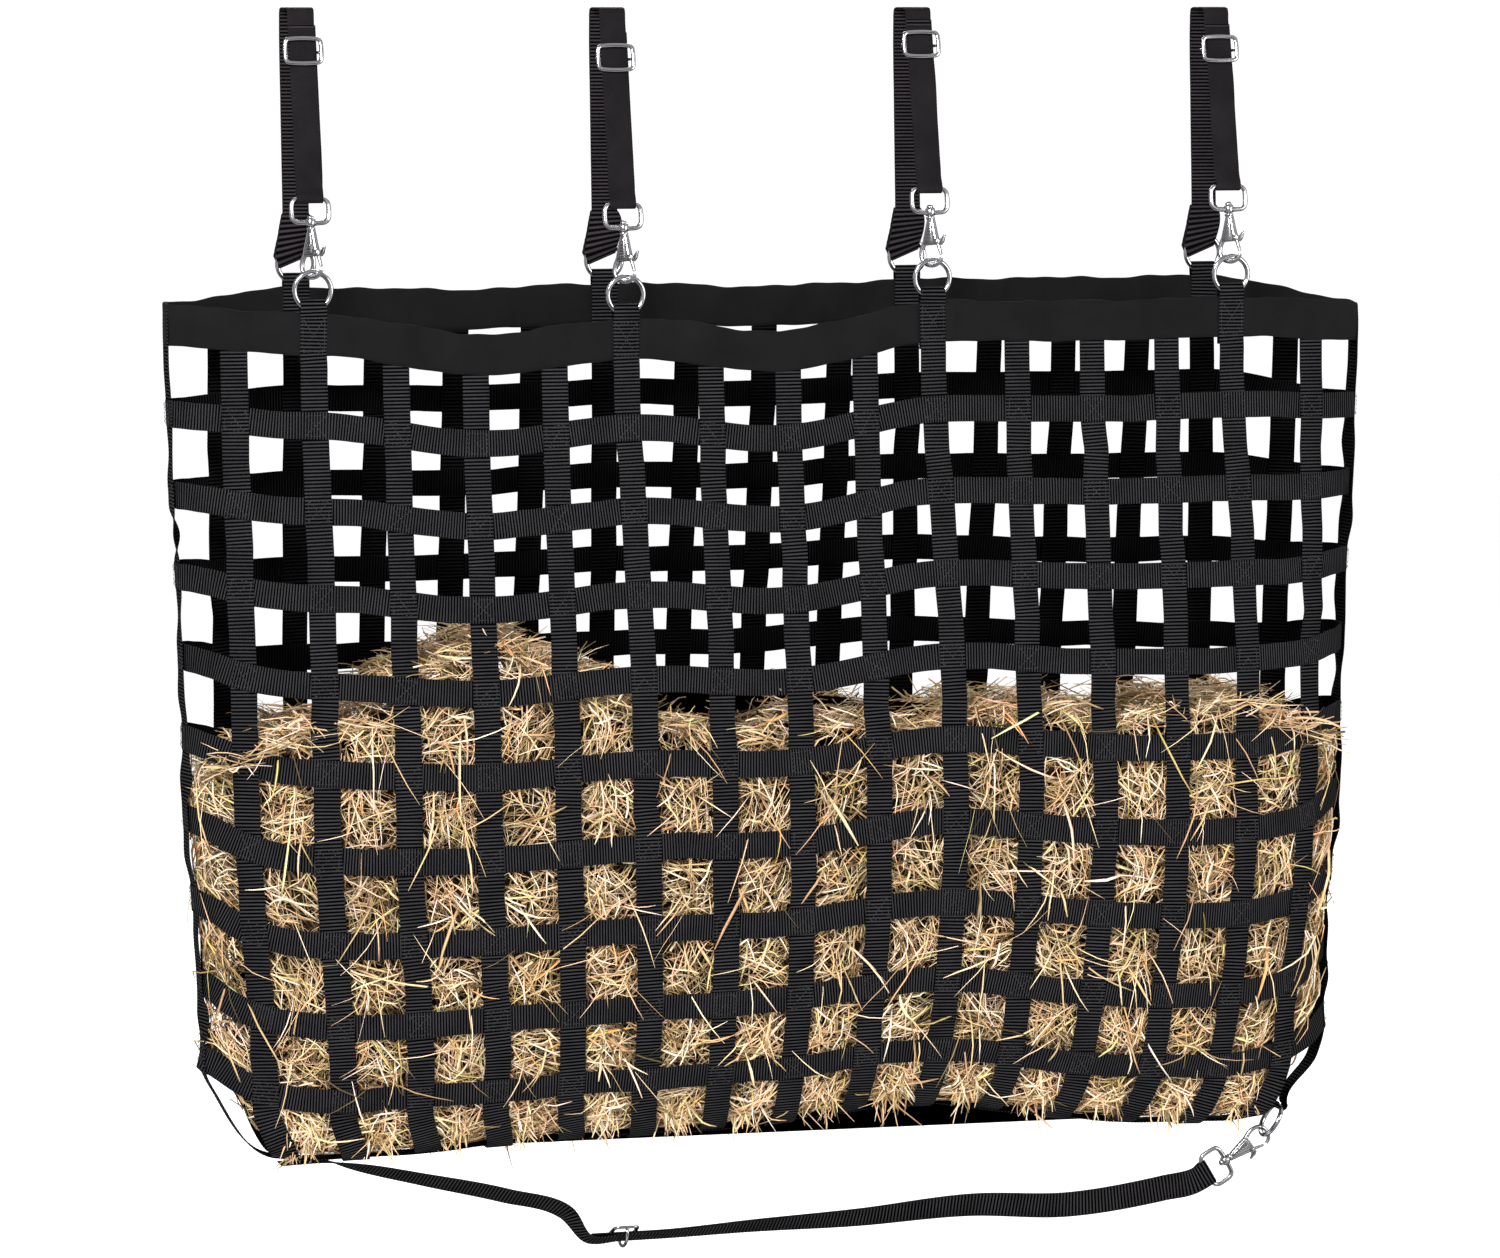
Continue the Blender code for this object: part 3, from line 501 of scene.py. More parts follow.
def rgba(colour):
    """A colour with its alpha, or the socket it comes from."""
    return colour if isinstance(colour, bpy.types.NodeSocket) else (*colour, 1.0)


class NodeTree:
    """Nodes of a material or a world, built step by step."""

    def __init__(self, owner):
        owner.use_nodes = True
        self.tree = owner.node_tree

    def feed(self, socket, value):
        if isinstance(value, bpy.types.NodeSocket):
            self.tree.links.new(value, socket)
        else:
            socket.default_value = value

    def node(self, kind, inputs=(), **settings):
        made = self.tree.nodes.new(kind)
        for key, value in settings.items():
            setattr(made, key, value)
        for key, value in dict(inputs).items():
            self.feed(made.inputs[key], value)
        return made

    def math(self, operation, a, b=0.0, clamp=False):
        made = self.node("ShaderNodeMath", {0: a, 1: b}, operation=operation, use_clamp=clamp)
        return made.outputs[0]

    def times(self, a, b):
        return self.math("MULTIPLY", a, b)

    def plus(self, a, b, clamp=False):
        return self.math("ADD", a, b, clamp)

    def minus(self, a, b):
        return self.math("SUBTRACT", a, b)

    def sine(self, a):
        return self.math("SINE", a)

    def attribute(self, name, output="Fac"):
        return self.node("ShaderNodeAttribute", attribute_name=name).outputs[output]

    def split(self, vector):
        return self.node("ShaderNodeSeparateXYZ", {0: vector}).outputs

    def noise(self, scale, detail=2.0, vector=None, roughness=0.5):
        inputs = {"Scale": scale, "Detail": detail, "Roughness": roughness}
        inputs["Vector"] = vector or self.node("ShaderNodeTexCoord").outputs["Object"]
        return self.node("ShaderNodeTexNoise", inputs).outputs["Fac"]

    def blend(self, share, first, second):
        """Mixes two numbers."""
        inputs = {"Factor": share, 2: first, 3: second}
        return self.node("ShaderNodeMix", inputs, data_type="FLOAT").outputs[0]

    def mix(self, share, first, second):
        inputs = {"Factor": share, 6: rgba(first), 7: rgba(second)}
        return self.node("ShaderNodeMix", inputs, data_type="RGBA").outputs[2]

    def tinted(self, colour, tint):
        inputs = {"Factor": 1.0, 6: colour, 7: rgba(tint)}
        return self.node("ShaderNodeMix", inputs, data_type="RGBA", blend_type="MULTIPLY").outputs[2]

    def ramp(self, value, stops):
        made = self.node("ShaderNodeValToRGB", {"Fac": value})
        elements = made.color_ramp.elements
        while len(elements) < len(stops):
            elements.new(0.5)
        for element, (position, colour) in zip(elements, stops):
            element.position = position
            element.color = rgba(colour)
        return made.outputs["Color"]

    def combine(self, x, y, z):
        return self.node("ShaderNodeCombineXYZ", {0: x, 1: y, 2: z}).outputs[0]

    def bump(self, height, distance, strength=1.0):
        inputs = {"Height": height, "Distance": distance, "Strength": strength}
        return self.node("ShaderNodeBump", inputs).outputs["Normal"]


class Shader(NodeTree):
    """A material with one surface."""

    def __init__(self, name):
        self.material = bpy.data.materials.new(name)
        super().__init__(self.material)
        self.surface = self.tree.nodes["Principled BSDF"]

    def set(self, **values):
        for key, value in values.items():
            self.feed(self.surface.inputs[key.replace("_", " ")], value)


def webbing_material(name, dark, light, twill_outside=False, paint_inner_shade=True):
    """Ribbed woven webbing, with painted highlights on the rib crests and painted shade in the grooves;
    painted shade may darken its inner face. Its outer face may be a fine twill instead.
    """
    s = Shader(name)
    run, across, face = s.split(s.attribute("weave", "Vector"))
    relief = s.attribute("relief")
    cloudy = s.noise(38.0, 3.0)
    fuzz = s.noise(2600.0, 1.0)
    yarns = s.sine(s.times(across, 2 * math.pi / (0.95 * MM)))
    cords = s.sine(s.times(s.plus(run, s.times(across, 0.35)), 5200.0))
    height = s.plus(s.times(yarns, 0.5), s.times(cords, 0.25))
    # Painted highlights on the rib crests and painted shade in the grooves: the rib height sets the tone
    # between the dark and the light colour.
    crest = s.plus(s.times(relief, 1.25), 0.12, clamp=True)
    if twill_outside:
        slant = s.math("ABSOLUTE", s.minus(s.math("FLOORED_MODULO", across, 6.0 * MM), 3.0 * MM))
        twill = s.sine(s.times(s.plus(run, slant), 2 * math.pi / (1.3 * MM)))
        outer = s.math("GREATER_THAN", face, 0.3)
        fine = s.plus(s.times(twill, 0.22), 0.42)
        height = s.blend(outer, height, s.times(twill, 1.1))
        crest = s.blend(outer, crest, fine)
    height = s.plus(height, s.times(fuzz, 0.7))
    worn = s.plus(s.times(cloudy, 0.9), 0.45)
    tone = s.times(crest, worn)
    tone = s.plus(tone, s.times(s.minus(fuzz, 0.45), 0.22), clamp=True)
    # Painted shade: the inner face is darkened to about a quarter of its tone.
    if paint_inner_shade:
        inner = s.math("LESS_THAN", face, -0.3)
        tone = s.times(tone, s.minus(1.0, s.times(inner, 0.76)))
    s.set(Base_Color=s.mix(tone, dark, light))
    s.set(Roughness=s.plus(0.52, s.times(cloudy, 0.3)))
    s.set(Normal=s.bump(height, 0.16 * MM, 0.8), Specular_IOR_Level=s.times(tone, 0.16))
    return s.material


def rim_material():
    """Plain twill tape, matt, with a fine slanting weave and a little lint."""
    s = Shader("rim_tape_look")
    run, across, _ = s.split(s.attribute("weave", "Vector"))
    slanting = s.plus(run, s.times(across, 1.2))
    twill = s.sine(s.times(slanting, 2 * math.pi / (1.1 * MM)))
    fuzz = s.noise(2200.0, 2.0)
    cloudy = s.noise(26.0, 3.0)
    height = s.plus(s.times(twill, 0.6), fuzz)
    tone = s.plus(s.times(cloudy, 0.7), s.times(fuzz, 0.3), clamp=True)
    s.set(Base_Color=s.mix(tone, (0.0014, 0.0013, 0.0015), (0.0085, 0.0082, 0.009)))
    s.set(Roughness=0.86, Specular_IOR_Level=0.1, Normal=s.bump(height, 0.12 * MM, 0.7))
    s.set(Sheen_Weight=0.015, Sheen_Roughness=0.5)
    return s.material


def metal_material(name, tone, rough, cast):
    """Nickel plating: drawn wire is nearly smooth, a casting has a faint orange-peel surface."""
    s = Shader(name)
    smudge = s.noise(55.0, 4.0)
    grain = s.noise(900.0 if cast else 2600.0, 3.0)
    s.set(Metallic=1.0, Base_Color=s.mix(smudge, tone, tuple(0.86 * c for c in tone)))
    s.set(Roughness=s.plus(rough, s.times(smudge, 0.14)))
    s.set(Normal=s.bump(grain, 0.05 * MM if cast else 0.015 * MM, 0.6))
    return s.material


def thread_material():
    s = Shader("thread_look")
    twist = s.noise(3400.0, 1.0)
    s.set(Base_Color=s.mix(twist, (0.012, 0.0115, 0.013), (0.045, 0.044, 0.048)))
    s.set(Roughness=0.45, Specular_IOR_Level=0.4, Normal=s.bump(twist, 0.06 * MM, 0.8))
    return s.material


HAY_STOPS = [
    (0.0, (0.045, 0.032, 0.012)),
    (0.16, (0.17, 0.115, 0.040)),
    (0.34, (0.46, 0.30, 0.13)),
    (0.52, (0.76, 0.54, 0.27)),
    (0.72, (0.93, 0.74, 0.46)),
    (0.90, (0.98, 0.90, 0.72)),
    (1.0, (0.85, 0.42, 0.13)),
]


def hay_material():
    """Dry stalks: each has its own tone and hue, with streaks along it and a slight shine; painted shade
    darkens the deeper ones.
    """
    s = Shader("hay_look")
    tint = s.attribute("tint")
    along, round_it, hue = s.split(s.attribute("stalk", "Vector"))
    streaks = s.noise(1.0, 2.0, s.combine(s.times(along, 90.0), s.times(round_it, 9.0), hue))
    tone = s.plus(tint, s.times(s.minus(streaks, 0.5), 0.22), clamp=True)
    colour = s.ramp(tone, HAY_STOPS)
    green = s.math("LESS_THAN", hue, 0.10)
    peach = s.math("GREATER_THAN", hue, 0.62)
    colour = s.mix(green, colour, s.tinted(colour, (0.84, 0.94, 0.62)))
    colour = s.mix(peach, colour, s.tinted(colour, (1.06, 0.93, 1.02)))
    # Painted shade: stalks deeper inside the net are darkened towards a near-black brown.
    depth = s.attribute("depth")
    painted_shade = s.minus(1.0, s.times(depth, 0.78))
    s.set(Base_Color=s.mix(painted_shade, (0.022, 0.014, 0.006), colour))
    s.set(Roughness=0.5, Specular_IOR_Level=0.35, Normal=s.bump(streaks, 0.2 * MM, 0.5))
    return s.material


# Dark colours of the hay's inside, which paint the shade it lies in.
CORE_SHADE_STOPS = [
    (0.2, (0.006, 0.004, 0.002)),
    (0.55, (0.035, 0.023, 0.01)),
    (1.0, (0.12, 0.08, 0.035)),
]


def core_material():
    """The inside of the hay: tangled stalks, their shade painted into dark colours, darker still in the gaps
    between them.
    """
    s = Shader("hay_core_look")
    cells = s.node(
        "ShaderNodeTexVoronoi",
        {"Vector": s.node("ShaderNodeTexCoord").outputs["Object"], "Scale": 260.0},
        feature="DISTANCE_TO_EDGE",
    ).outputs["Distance"]
    patches = s.noise(120.0, 4.0, roughness=0.7)
    tone = s.plus(s.times(cells, 1.2), s.times(patches, 0.6), clamp=True)
    s.set(Base_Color=s.ramp(tone, CORE_SHADE_STOPS))
    s.set(Roughness=0.8, Specular_IOR_Level=0.2, Normal=s.bump(patches, 2 * MM))
    return s.material


BLACK = (0.0004, 0.0004, 0.0005)
WARM_BLACK = (0.0010, 0.0008, 0.0010)

LOOKS = {
    "webbing": webbing_material("webbing_look", BLACK, (0.024, 0.0235, 0.026)),
    "strap": webbing_material(
        "strap_look", WARM_BLACK, (0.023, 0.0195, 0.0225), twill_outside=True, paint_inner_shade=False
    ),
    "ribbed": webbing_material("ribbed_look", BLACK, (0.021, 0.0195, 0.0215), paint_inner_shade=False),
    "rim": rim_material(),
    "nickel": metal_material("nickel_look", (0.66, 0.655, 0.68), 0.08, False),
    "zinc": metal_material("zinc_look", (0.60, 0.59, 0.61), 0.15, True),
    "thread": thread_material(),
    "hay": hay_material(),
    "core": core_material(),
}


# ---------------------------------------------------------------- straps of the net


GAP_SHARES = (0.36, 0.5, 0.64)
GAP_WEAVE = (0.55, 0.0, -0.55)
GAP_REACH = 0.32
GAP_DRAW = 0.012


def crossing_stations(around, band, index=None):
    """Three stations over one crossing: of the upright with that index, or else of the band."""
    level = band_level(band)
    rows = []
    for share in (-PATCH_SHARE, 0.0, PATCH_SHARE):
        if index is None:
            centre, _, across, out = axes_at(around + share, level)
            weave = -WEAVE
        else:
            centre, across, _, out = axes_at(around, level + share * PITCH)
            centre = centre + vec(hanger_shift(index, level + share * PITCH))
            weave = WEAVE
        rows.append((centre + out * weave * sign(int(around), band), across, WEB_WIDTH))
    return rows


def band_stations(band, rng):
    """One horizontal band all the way round, over and under the uprights."""
    stations = []
    level = band_level(band)
    for around in range(ROUND):
        stations += crossing_stations(around, band)
        bow = rng.normal(0, 1.1 * MM)
        sway = rng.normal(0, 0.5 * MM)
        for share, weave in zip(GAP_SHARES, GAP_WEAVE):
            centre, _, up, out = axes_at(around + share, level)
            swell = 1 - abs(share - 0.5) / GAP_REACH
            point = centre - out * WEAVE * weave * sign(around, band) + (out * bow + up * sway) * swell
            stations.append((point, up, WEB_WIDTH * (1 - GAP_DRAW * swell)))
    return stations


def panel_stations(around, holds_ring, rng):
    """Stations of an upright down one panel, from below the rim to the last band."""
    index = upright_index(around)
    stations = []
    for level in (RIM_DEPTH + 8 * MM, RIM_DEPTH + 28 * MM):
        centre, along, _, out = axes_at(around, level)
        centre = centre + vec(hanger_shift(index, level))
        lean = 2.2 * MM if holds_ring and level < RIM_DEPTH + 10 * MM else 0.0
        stations.append((centre + out * lean, along, WEB_WIDTH))
    for band in range(1, BANDS + 1):
        stations += crossing_stations(around, band, index)
        if band == BANDS:
            break
        bow = rng.normal(0, 1.2 * MM)
        sway = rng.normal(0, 0.6 * MM)
        for share, weave in zip(GAP_SHARES, GAP_WEAVE):
            level = band_level(band) + share * PITCH
            centre, along, _, out = axes_at(around, level)
            centre = centre + vec(hanger_shift(index, level))
            swell = 1 - abs(share - 0.5) / GAP_REACH
            point = centre + out * WEAVE * weave * sign(around, band) + (out * bow + along * sway) * swell
            stations.append((point, along, WEB_WIDTH * (1 - GAP_DRAW * swell)))
    return stations


def fold_over_ring(around, pivot):
    """Stations of an upright's upper end: up inside the rim, round the ring and down outside."""
    centre, _, up, out = axes_at(around, RIM_DEPTH / 2)
    front = np.sign(out[1]) * vec(0, 1)
    centre = centre + vec(pivot[0] - centre[0])
    across = vec(1)
    half = RIM_DEPTH / 2
    stations = []
    for rise in (-half - 7 * MM, 0.0, half - 4 * MM):
        stations.append((centre + up * rise - out * TAB_LEG, across, WEB_WIDTH))
    crown = pivot + vec(0, 0, 4.6 * MM)
    for degrees in (-90, -50, 0, 50, 90):
        angle = math.radians(degrees)
        point = crown + (front * math.sin(angle) + vec(0, 0, math.cos(angle))) * 3.9 * MM
        width = WEB_WIDTH * (0.955 if abs(degrees) > 60 else 0.93)
        stations.append((point, across, width))
    for rise in (half - 4 * MM, 0.0, -half + 2 * MM):
        stations.append((centre + up * rise + out * TAB_LEG, across, WEB_WIDTH))
    return stations


def joint_point(name):
    return np.array(JOINTS[name]["pos_m"], float)


def upright_top(around):
    """Upper end of an upright without a ring: it ends between the two leaves of the rim."""
    stations = []
    for level in (4 * MM, RIM_DEPTH / 2, RIM_DEPTH - 6 * MM):
        centre, along, _, _ = axes_at(around, level)
        stations.append((centre, along, WEB_WIDTH))
    return stations


def make_upright(index):
    rng = np.random.default_rng(900 + index)
    holds_ring = index in HANGER_UPRIGHTS
    panels = []
    for around, side in ((index, "front"), (ROUND - index, "rear")):
        if holds_ring:
            number = HANGER_UPRIGHTS.index(index) + 1
            top = fold_over_ring(around, joint_point(f"{side}_ring_{number}_tilt"))
        else:
            top = upright_top(around)
        panels.append(top + panel_stations(around, holds_ring, rng))
    floor, along, up = floor_patch(index)
    floor = floor - up * WEAVE * sign(index, 0)
    bottom = [(floor + vec(0, y), along, WEB_WIDTH) for y in (-PATCH, 0.0, PATCH)]
    stations = panels[0] + bottom + panels[1][::-1]
    obj = ribbon(f"net_upright_{index:02d}", stations, LOOKS["webbing"])
    return finish_piece(obj, "net", "webbing", f"upright_{index:02d}")


def make_band(band):
    rng = np.random.default_rng(300 + band)
    stations = band_stations(band, rng)
    obj = ribbon(f"net_band_{band}", stations, LOOKS["webbing"], closed=True, rib_pitch=BAND_RIB_PITCH)
    return finish_piece(obj, "net", "webbing", f"band_{band}")


for band in range(1, BANDS + 1):
    make_band(band)
for index in range(1, UPRIGHTS):
    make_upright(index)


# ---------------------------------------------------------------- side strap and rim


def corner_pivot():
    return joint_point("corner_ring_rock")


def side_stations(around):
    """Down one end of the net, over and under the bands."""
    across = vec(0, -1)
    stations = []
    for level in (3 * MM, RIM_DEPTH / 2, RIM_DEPTH + 2 * MM, 60 * MM):
        centre = axes_at(around, level)[0]
        width = WEB_WIDTH * (0.8 if level < 4 * MM else 0.97)
        stations.append((centre, across, width))
    rng = np.random.default_rng(77 + around)
    for band in range(1, BANDS + 1):
        for share in (-PATCH_SHARE, 0.0, PATCH_SHARE):
            level = band_level(band) + share * PITCH
            centre, _, _, out = axes_at(around, level)
            stations.append((centre + out * WEAVE * sign(around, band), across, WEB_WIDTH))
        if band == BANDS:
            break
        centre, _, _, out = axes_at(around, band_level(band) + PITCH / 2)
        twist = unit(across + out * rng.normal(0, 0.16))
        stations.append((centre + out * rng.normal(0, 1.2 * MM), twist, WEB_WIDTH * 0.97))
    return stations


def fold_round(centre, start, sweep, radius, width, steps=7):
    """Stations of a fold in the XZ plane, round a wire that runs along Y."""
    stations = []
    for step in range(steps):
        angle = math.radians(start + sweep * step / (steps - 1))
        point = centre + vec(math.cos(angle), 0, math.sin(angle)) * radius
        stations.append((point, vec(0, 1), width))
    return stations


def make_side_strap():
    """The strap down both ends and lengthwise under the bottom."""
    across = vec(0, -1)
    left = side_stations(0)
    right = side_stations(UPRIGHTS)
    corner_left = left[-1][0] + vec(14 * MM, 0, -33 * MM)
    corner_right = right[-1][0] + vec(-8 * MM, 0, -33 * MM)
    bottom = []
    for index in range(1, UPRIGHTS):
        centre, along, up = floor_patch(index)
        centre = centre + up * WEAVE * sign(index, 0)
        for step in (-PATCH, 0.0, PATCH):
            bottom.append((centre + along * step, across, WEB_WIDTH))
    fold = fold_round(corner_pivot(), 150, 240, 4.7 * MM, 21 * MM)
    stations = left + [(corner_left, across, WEB_WIDTH)] + bottom + fold
    stations += [(corner_right, across, WEB_WIDTH)] + right[::-1]
    obj = ribbon("net_side_and_bottom_strap", stations, LOOKS["webbing"])
    return finish_piece(obj, "net", "webbing", "side_and_bottom_strap")


# The rim's tape, and how far each leaf stands from the middle with a strap between them or none.
RIM_TAPE = 0.9 * MM
LEAF_EMPTY = 0.55 * MM
LEAF_FILLED = 1.40 * MM
FOLD = 1.3 * MM
RUFFLE_WAVES = (19, 27, 37, 53, 71)
RIM_STEPS = 30


def rim_outline():
    """(height, side, share of the fold) up the outer leaf, over the fold and down the inner leaf."""
    half = RIM_DEPTH / 2
    top = half - 1.2 * MM
    outline = [(rise, 1.0, 0.0) for rise in np.linspace(-half, top, 9)]
    for degrees in (30, 60, 90, 120, 150):
        angle = math.radians(degrees)
        outline.append((top, math.cos(angle), math.sin(angle)))
    outline += [(rise, -1.0, 0.0) for rise in np.linspace(top, -half, 9)]
    return outline


def make_rim():
    """The rim: tape folded over the ends of the uprights, puckered where nothing fills it."""
    rng = np.random.default_rng(41)
    count = ROUND * RIM_STEPS
    around = np.linspace(0, ROUND, count, endpoint=False)
    off = np.abs((around + 0.5) % 1.0 - 0.5) * PITCH
    filled = 1 - smooth((off - 12.5 * MM) / (5.0 * MM))
    leaf = LEAF_EMPTY + (LEAF_FILLED - LEAF_EMPTY) * filled
    turns = 2 * math.pi * around / ROUND
    ruffle_top, ruffle_low, puff = np.zeros((3, count))
    for waves in RUFFLE_WAVES:
        for wave, size in ((ruffle_top, 0.70 * MM), (ruffle_low, 0.30 * MM), (puff, 0.50 * MM)):
            wave += rng.normal(0, size) * np.sin(waves * turns + rng.uniform(0, 6.3))
    puff *= 1 - 0.85 * filled
    centre, _, up, out = axes(around, np.full(count, RIM_DEPTH / 2))
    outline = rim_outline()
    rows = []
    weave = []
    for shell, spots in ((1, outline), (-1, outline[::-1])):
        for rise, outward, crown in spots:
            share = (rise + RIM_DEPTH / 2) / RIM_DEPTH
            bulge = math.sin(math.pi * min(1.0, share)) * puff
            spread = leaf * (1 if crown else 1 + 0.25 * share) + shell * RIM_TAPE / 2
            height = rise + crown * (FOLD + shell * RIM_TAPE / 2)
            height = height + share * ruffle_top + (1 - share) * ruffle_low
            side = spread * outward + bulge
            rows.append(centre + up * height[:, None] + out * side[:, None])
            weave.append(np.stack([around * PITCH, np.full(count, rise), np.full(count, outward)], axis=-1))
    points = np.stack(rows, axis=1)
    obj = mesh_object("net_rim", *skin(points, True), LOOKS["rim"])
    point_attribute(obj, "weave", np.stack(weave, axis=1).reshape(-1, 3))
    return finish_piece(obj, "net", "rim_tape", "rim_band")


make_side_strap()
make_rim()


# ---------------------------------------------------------------- metal parts


RING_LOOK_RADIUS = 17.3 * MM
EYE_WIRE = 2.3 * MM
EYE_WIDTH = 39.4 * MM
EYE_HEIGHT = 22.5 * MM
BUCKLE_WIRE = 2.0 * MM
BUCKLE_WIDTH = 37.6 * MM
BUCKLE_HEIGHT = 26.6 * MM
BUCKLE_FRONT = -4.5 * MM
BUCKLE_BACK = 4.0 * MM
BUCKLE_BAR = 1.55 * MM
BUCKLE_FLATTEN = 0.8
GATE_PIN = vec(6 * MM, 0, -29 * MM)


def side_view(outline):
    """Points in the XZ plane from an outline in millimetres."""
    return [vec(x * MM, 0, z * MM) for x, z in outline]


def rounded_outline(width, height, radius, steps=8):
    """Rounded rectangle in the XZ plane, centred, as points in order."""
    points = []
    for side_x, side_z, start in ((1, 1, 0), (-1, 1, 90), (-1, -1, 180), (1, -1, 270)):
        for step in range(steps + 1):
            angle = math.radians(start + 90 * step / steps)
            x = side_x * (width / 2 - radius) + radius * math.cos(angle)
            z = side_z * (height / 2 - radius) + radius * math.sin(angle)
            points.append(vec(x, 0, z))
    return points


def turned(name, profile, material, sides=40, axis="Z"):
    """A turned part: profile is (radius, position along the axis) in millimetres, end to end."""
    angle = np.linspace(0, 2 * math.pi, sides, endpoint=False)
    rows = []
    for radius, along in np.array(profile) * MM:
        ring = np.stack([np.cos(angle) * radius, np.sin(angle) * radius, np.full(sides, along)], axis=-1)
        rows.append(ring)
    obj = mesh_object(name, *skin(np.array(rows)), material)
    if axis == "Y":
        place(obj, Matrix.Rotation(math.pi / 2, 4, "X"))
    return obj


def casting(name, outline, thickness, bevel):
    """A cast plate with its outline in the XZ plane, rounded along its edges; sizes in millimetres."""
    bm = bmesh.new()
    half = vec(0, thickness / 2 * MM)
    front = [bm.verts.new(point - half) for point in side_view(outline)]
    back = [bm.verts.new(point + half) for point in side_view(outline)]
    bm.faces.new(front)
    bm.faces.new(back[::-1])
    for k in range(len(outline)):
        after = (k + 1) % len(outline)
        bm.faces.new((front[after], front[k], back[k], back[after]))
    bmesh.ops.recalc_face_normals(bm, faces=bm.faces)
    settings = {"segments": 3, "profile": 0.6, "affect": "EDGES", "clamp_overlap": True}
    bmesh.ops.bevel(bm, geom=list(bm.edges), offset=bevel * MM, **settings)
    mesh = bpy.data.meshes.new(name)
    bm.to_mesh(mesh)
    bm.free()
    mesh.materials.append(LOOKS["zinc"])
    mesh.shade_smooth()
    return linked(name, mesh)


def build_ring():
    steps = np.linspace(0, 2 * math.pi, 48, endpoint=False)
    points = [vec(RING_LOOK_RADIUS * math.sin(a), 0, RING_LOOK_RADIUS * (1 - math.cos(a))) for a in steps]
    return tube("ring_master", points, RING_WIRE, LOOKS["nickel"], closed=True, sides=24, spacing=1.4 * MM)


def build_buckle():
    """Slide buckle: the bars show in front of the strap and the middle bar lies behind it."""
    outline = rounded_outline(BUCKLE_WIDTH - 2 * BUCKLE_WIRE, BUCKLE_HEIGHT - 2 * BUCKLE_WIRE, 4.2 * MM)
    points = [p + vec(0, BUCKLE_FRONT, 0) for p in outline]
    frame_piece = tube("buckle_frame", points, BUCKLE_WIRE, LOOKS["nickel"], closed=True, sides=20)
    to_front = Matrix.Translation((0, BUCKLE_FRONT, 0))
    place(frame_piece, to_front @ Matrix.Diagonal((1, BUCKLE_FLATTEN, 1, 1)) @ to_front.inverted())
    reach = BUCKLE_WIDTH / 2 - BUCKLE_WIRE
    bar = [
        vec(-reach, BUCKLE_FRONT, 0),
        vec(-reach, BUCKLE_BACK - 2 * MM, 0),
        vec(-reach + 2 * MM, BUCKLE_BACK, 0),
        vec(reach - 2 * MM, BUCKLE_BACK, 0),
        vec(reach, BUCKLE_BACK - 2 * MM, 0),
        vec(reach, BUCKLE_FRONT, 0),
    ]
    middle = tube("buckle_bar", bar, BUCKLE_BAR, LOOKS["nickel"], sides=16)
    return join("buckle_master", [frame_piece, middle])


def build_eye():
    """Swivel eye: cast loop, thicker at the bottom bar, with a boss and a rivet head inside."""
    outline = rounded_outline(EYE_WIDTH - 2 * EYE_WIRE, EYE_HEIGHT, 6.5 * MM)
    points = [p - vec(0, 0, EYE_HEIGHT / 2) for p in outline]
    radii = [EYE_WIRE * (1.0 - 0.12 * float(smooth(p[2] / EYE_HEIGHT + 0.7))) for p in points]
    loop = tube("eye_loop", points, radii, LOOKS["zinc"], closed=True, sides=22)
    collar = [(0.1, 4.1), (3.3, 4.1), (4.5, 3.2), (4.9, 1.4)]
    collar += [(4.9, -1.8), (4.3, -3.3), (3.0, -3.7), (0.1, -3.7)]
    boss = turned("eye_boss", collar, LOOKS["zinc"])
    head = [(0.1, 7.4), (1.6, 7.1), (2.7, 6.2), (3.1, 5.0), (3.1, 3.6), (0.1, 3.6)]
    rivet = turned("eye_rivet", head, LOOKS["zinc"])
    for piece in (boss, rivet):
        place(piece, Matrix.Translation((0, 0, -EYE_HEIGHT)))
    return join("eye_master", [loop, boss, rivet])


# Outlines and radii of the snap hook's pieces, in millimetres from its swivel; the gate's from its pin.
HOOK_PLATE = [(-2.6, -6.0), (2.8, -6.0), (5.2, -31.5), (-8.8, -31.5), (-8.2, -26.5)]
HOOK_PANEL = [(-1.6, -9.5), (1.2, -9.5), (1.4, -28.6), (-6.2, -28.6)]
HOOK_BARREL = [(1.2, -5.5), (2.2, -12), (3.6, -22), (4.6, -27)]
HOOK_BARREL_RADII = [2.9, 3.1, 3.4, 3.5]
HOOK_NECK = [(0.1, -8.0), (3.4, -7.6), (4.1, -6.4), (4.2, -5.2), (3.9, -4.6), (2.0, -4.4)]
HOOK_NECK += [(2.0, -3.6), (0.1, -3.6)]
HOOK_EAR = [(2.8, -25.0), (8.2, -26.0), (8.6, -31.2), (3.0, -31.5)]
HOOK_EAR_SPREAD = 2.7 * MM
HOOK_PIN = [(0.1, -3.9), (1.2, -3.9), (1.5, -3.6), (1.5, 3.6), (1.2, 3.9), (0.1, 3.9)]
HOOK_ARM = [(-6.2, -27.5), (-8.2, -31), (-10.4, -36), (-11, -40.5), (-10, -45), (-7, -49)]
HOOK_ARM += [(-2.2, -51), (3.0, -50.9), (7.4, -48.3), (9.6, -44.6)]
HOOK_ARM_RADII = [2.5, 2.4, 2.3, 2.2, 2.15, 2.1, 2.05, 2.0, 1.9, 1.7]
HOOK_RIBS = 6
GATE_STEM = [(-0.6, 1.0), (0.8, -2.6), (2.2, -7.5), (3.4, -12.4)]
GATE_STEM_RADII = [1.9, 1.75, 1.6, 1.35]
GATE_LEVER = [(0.2, 2.3), (4.6, 2.9), (7.4, 6.6), (8.5, 6.0), (6.9, -0.4), (4.2, -3.4), (1.0, -2.6)]


def zinc_rod(name, outline, radii, sides=20):
    """A cast rod through an outline in millimetres, with its radius at each point."""
    return tube(name, side_view(outline), np.array(radii) * MM, LOOKS["zinc"], sides=sides)


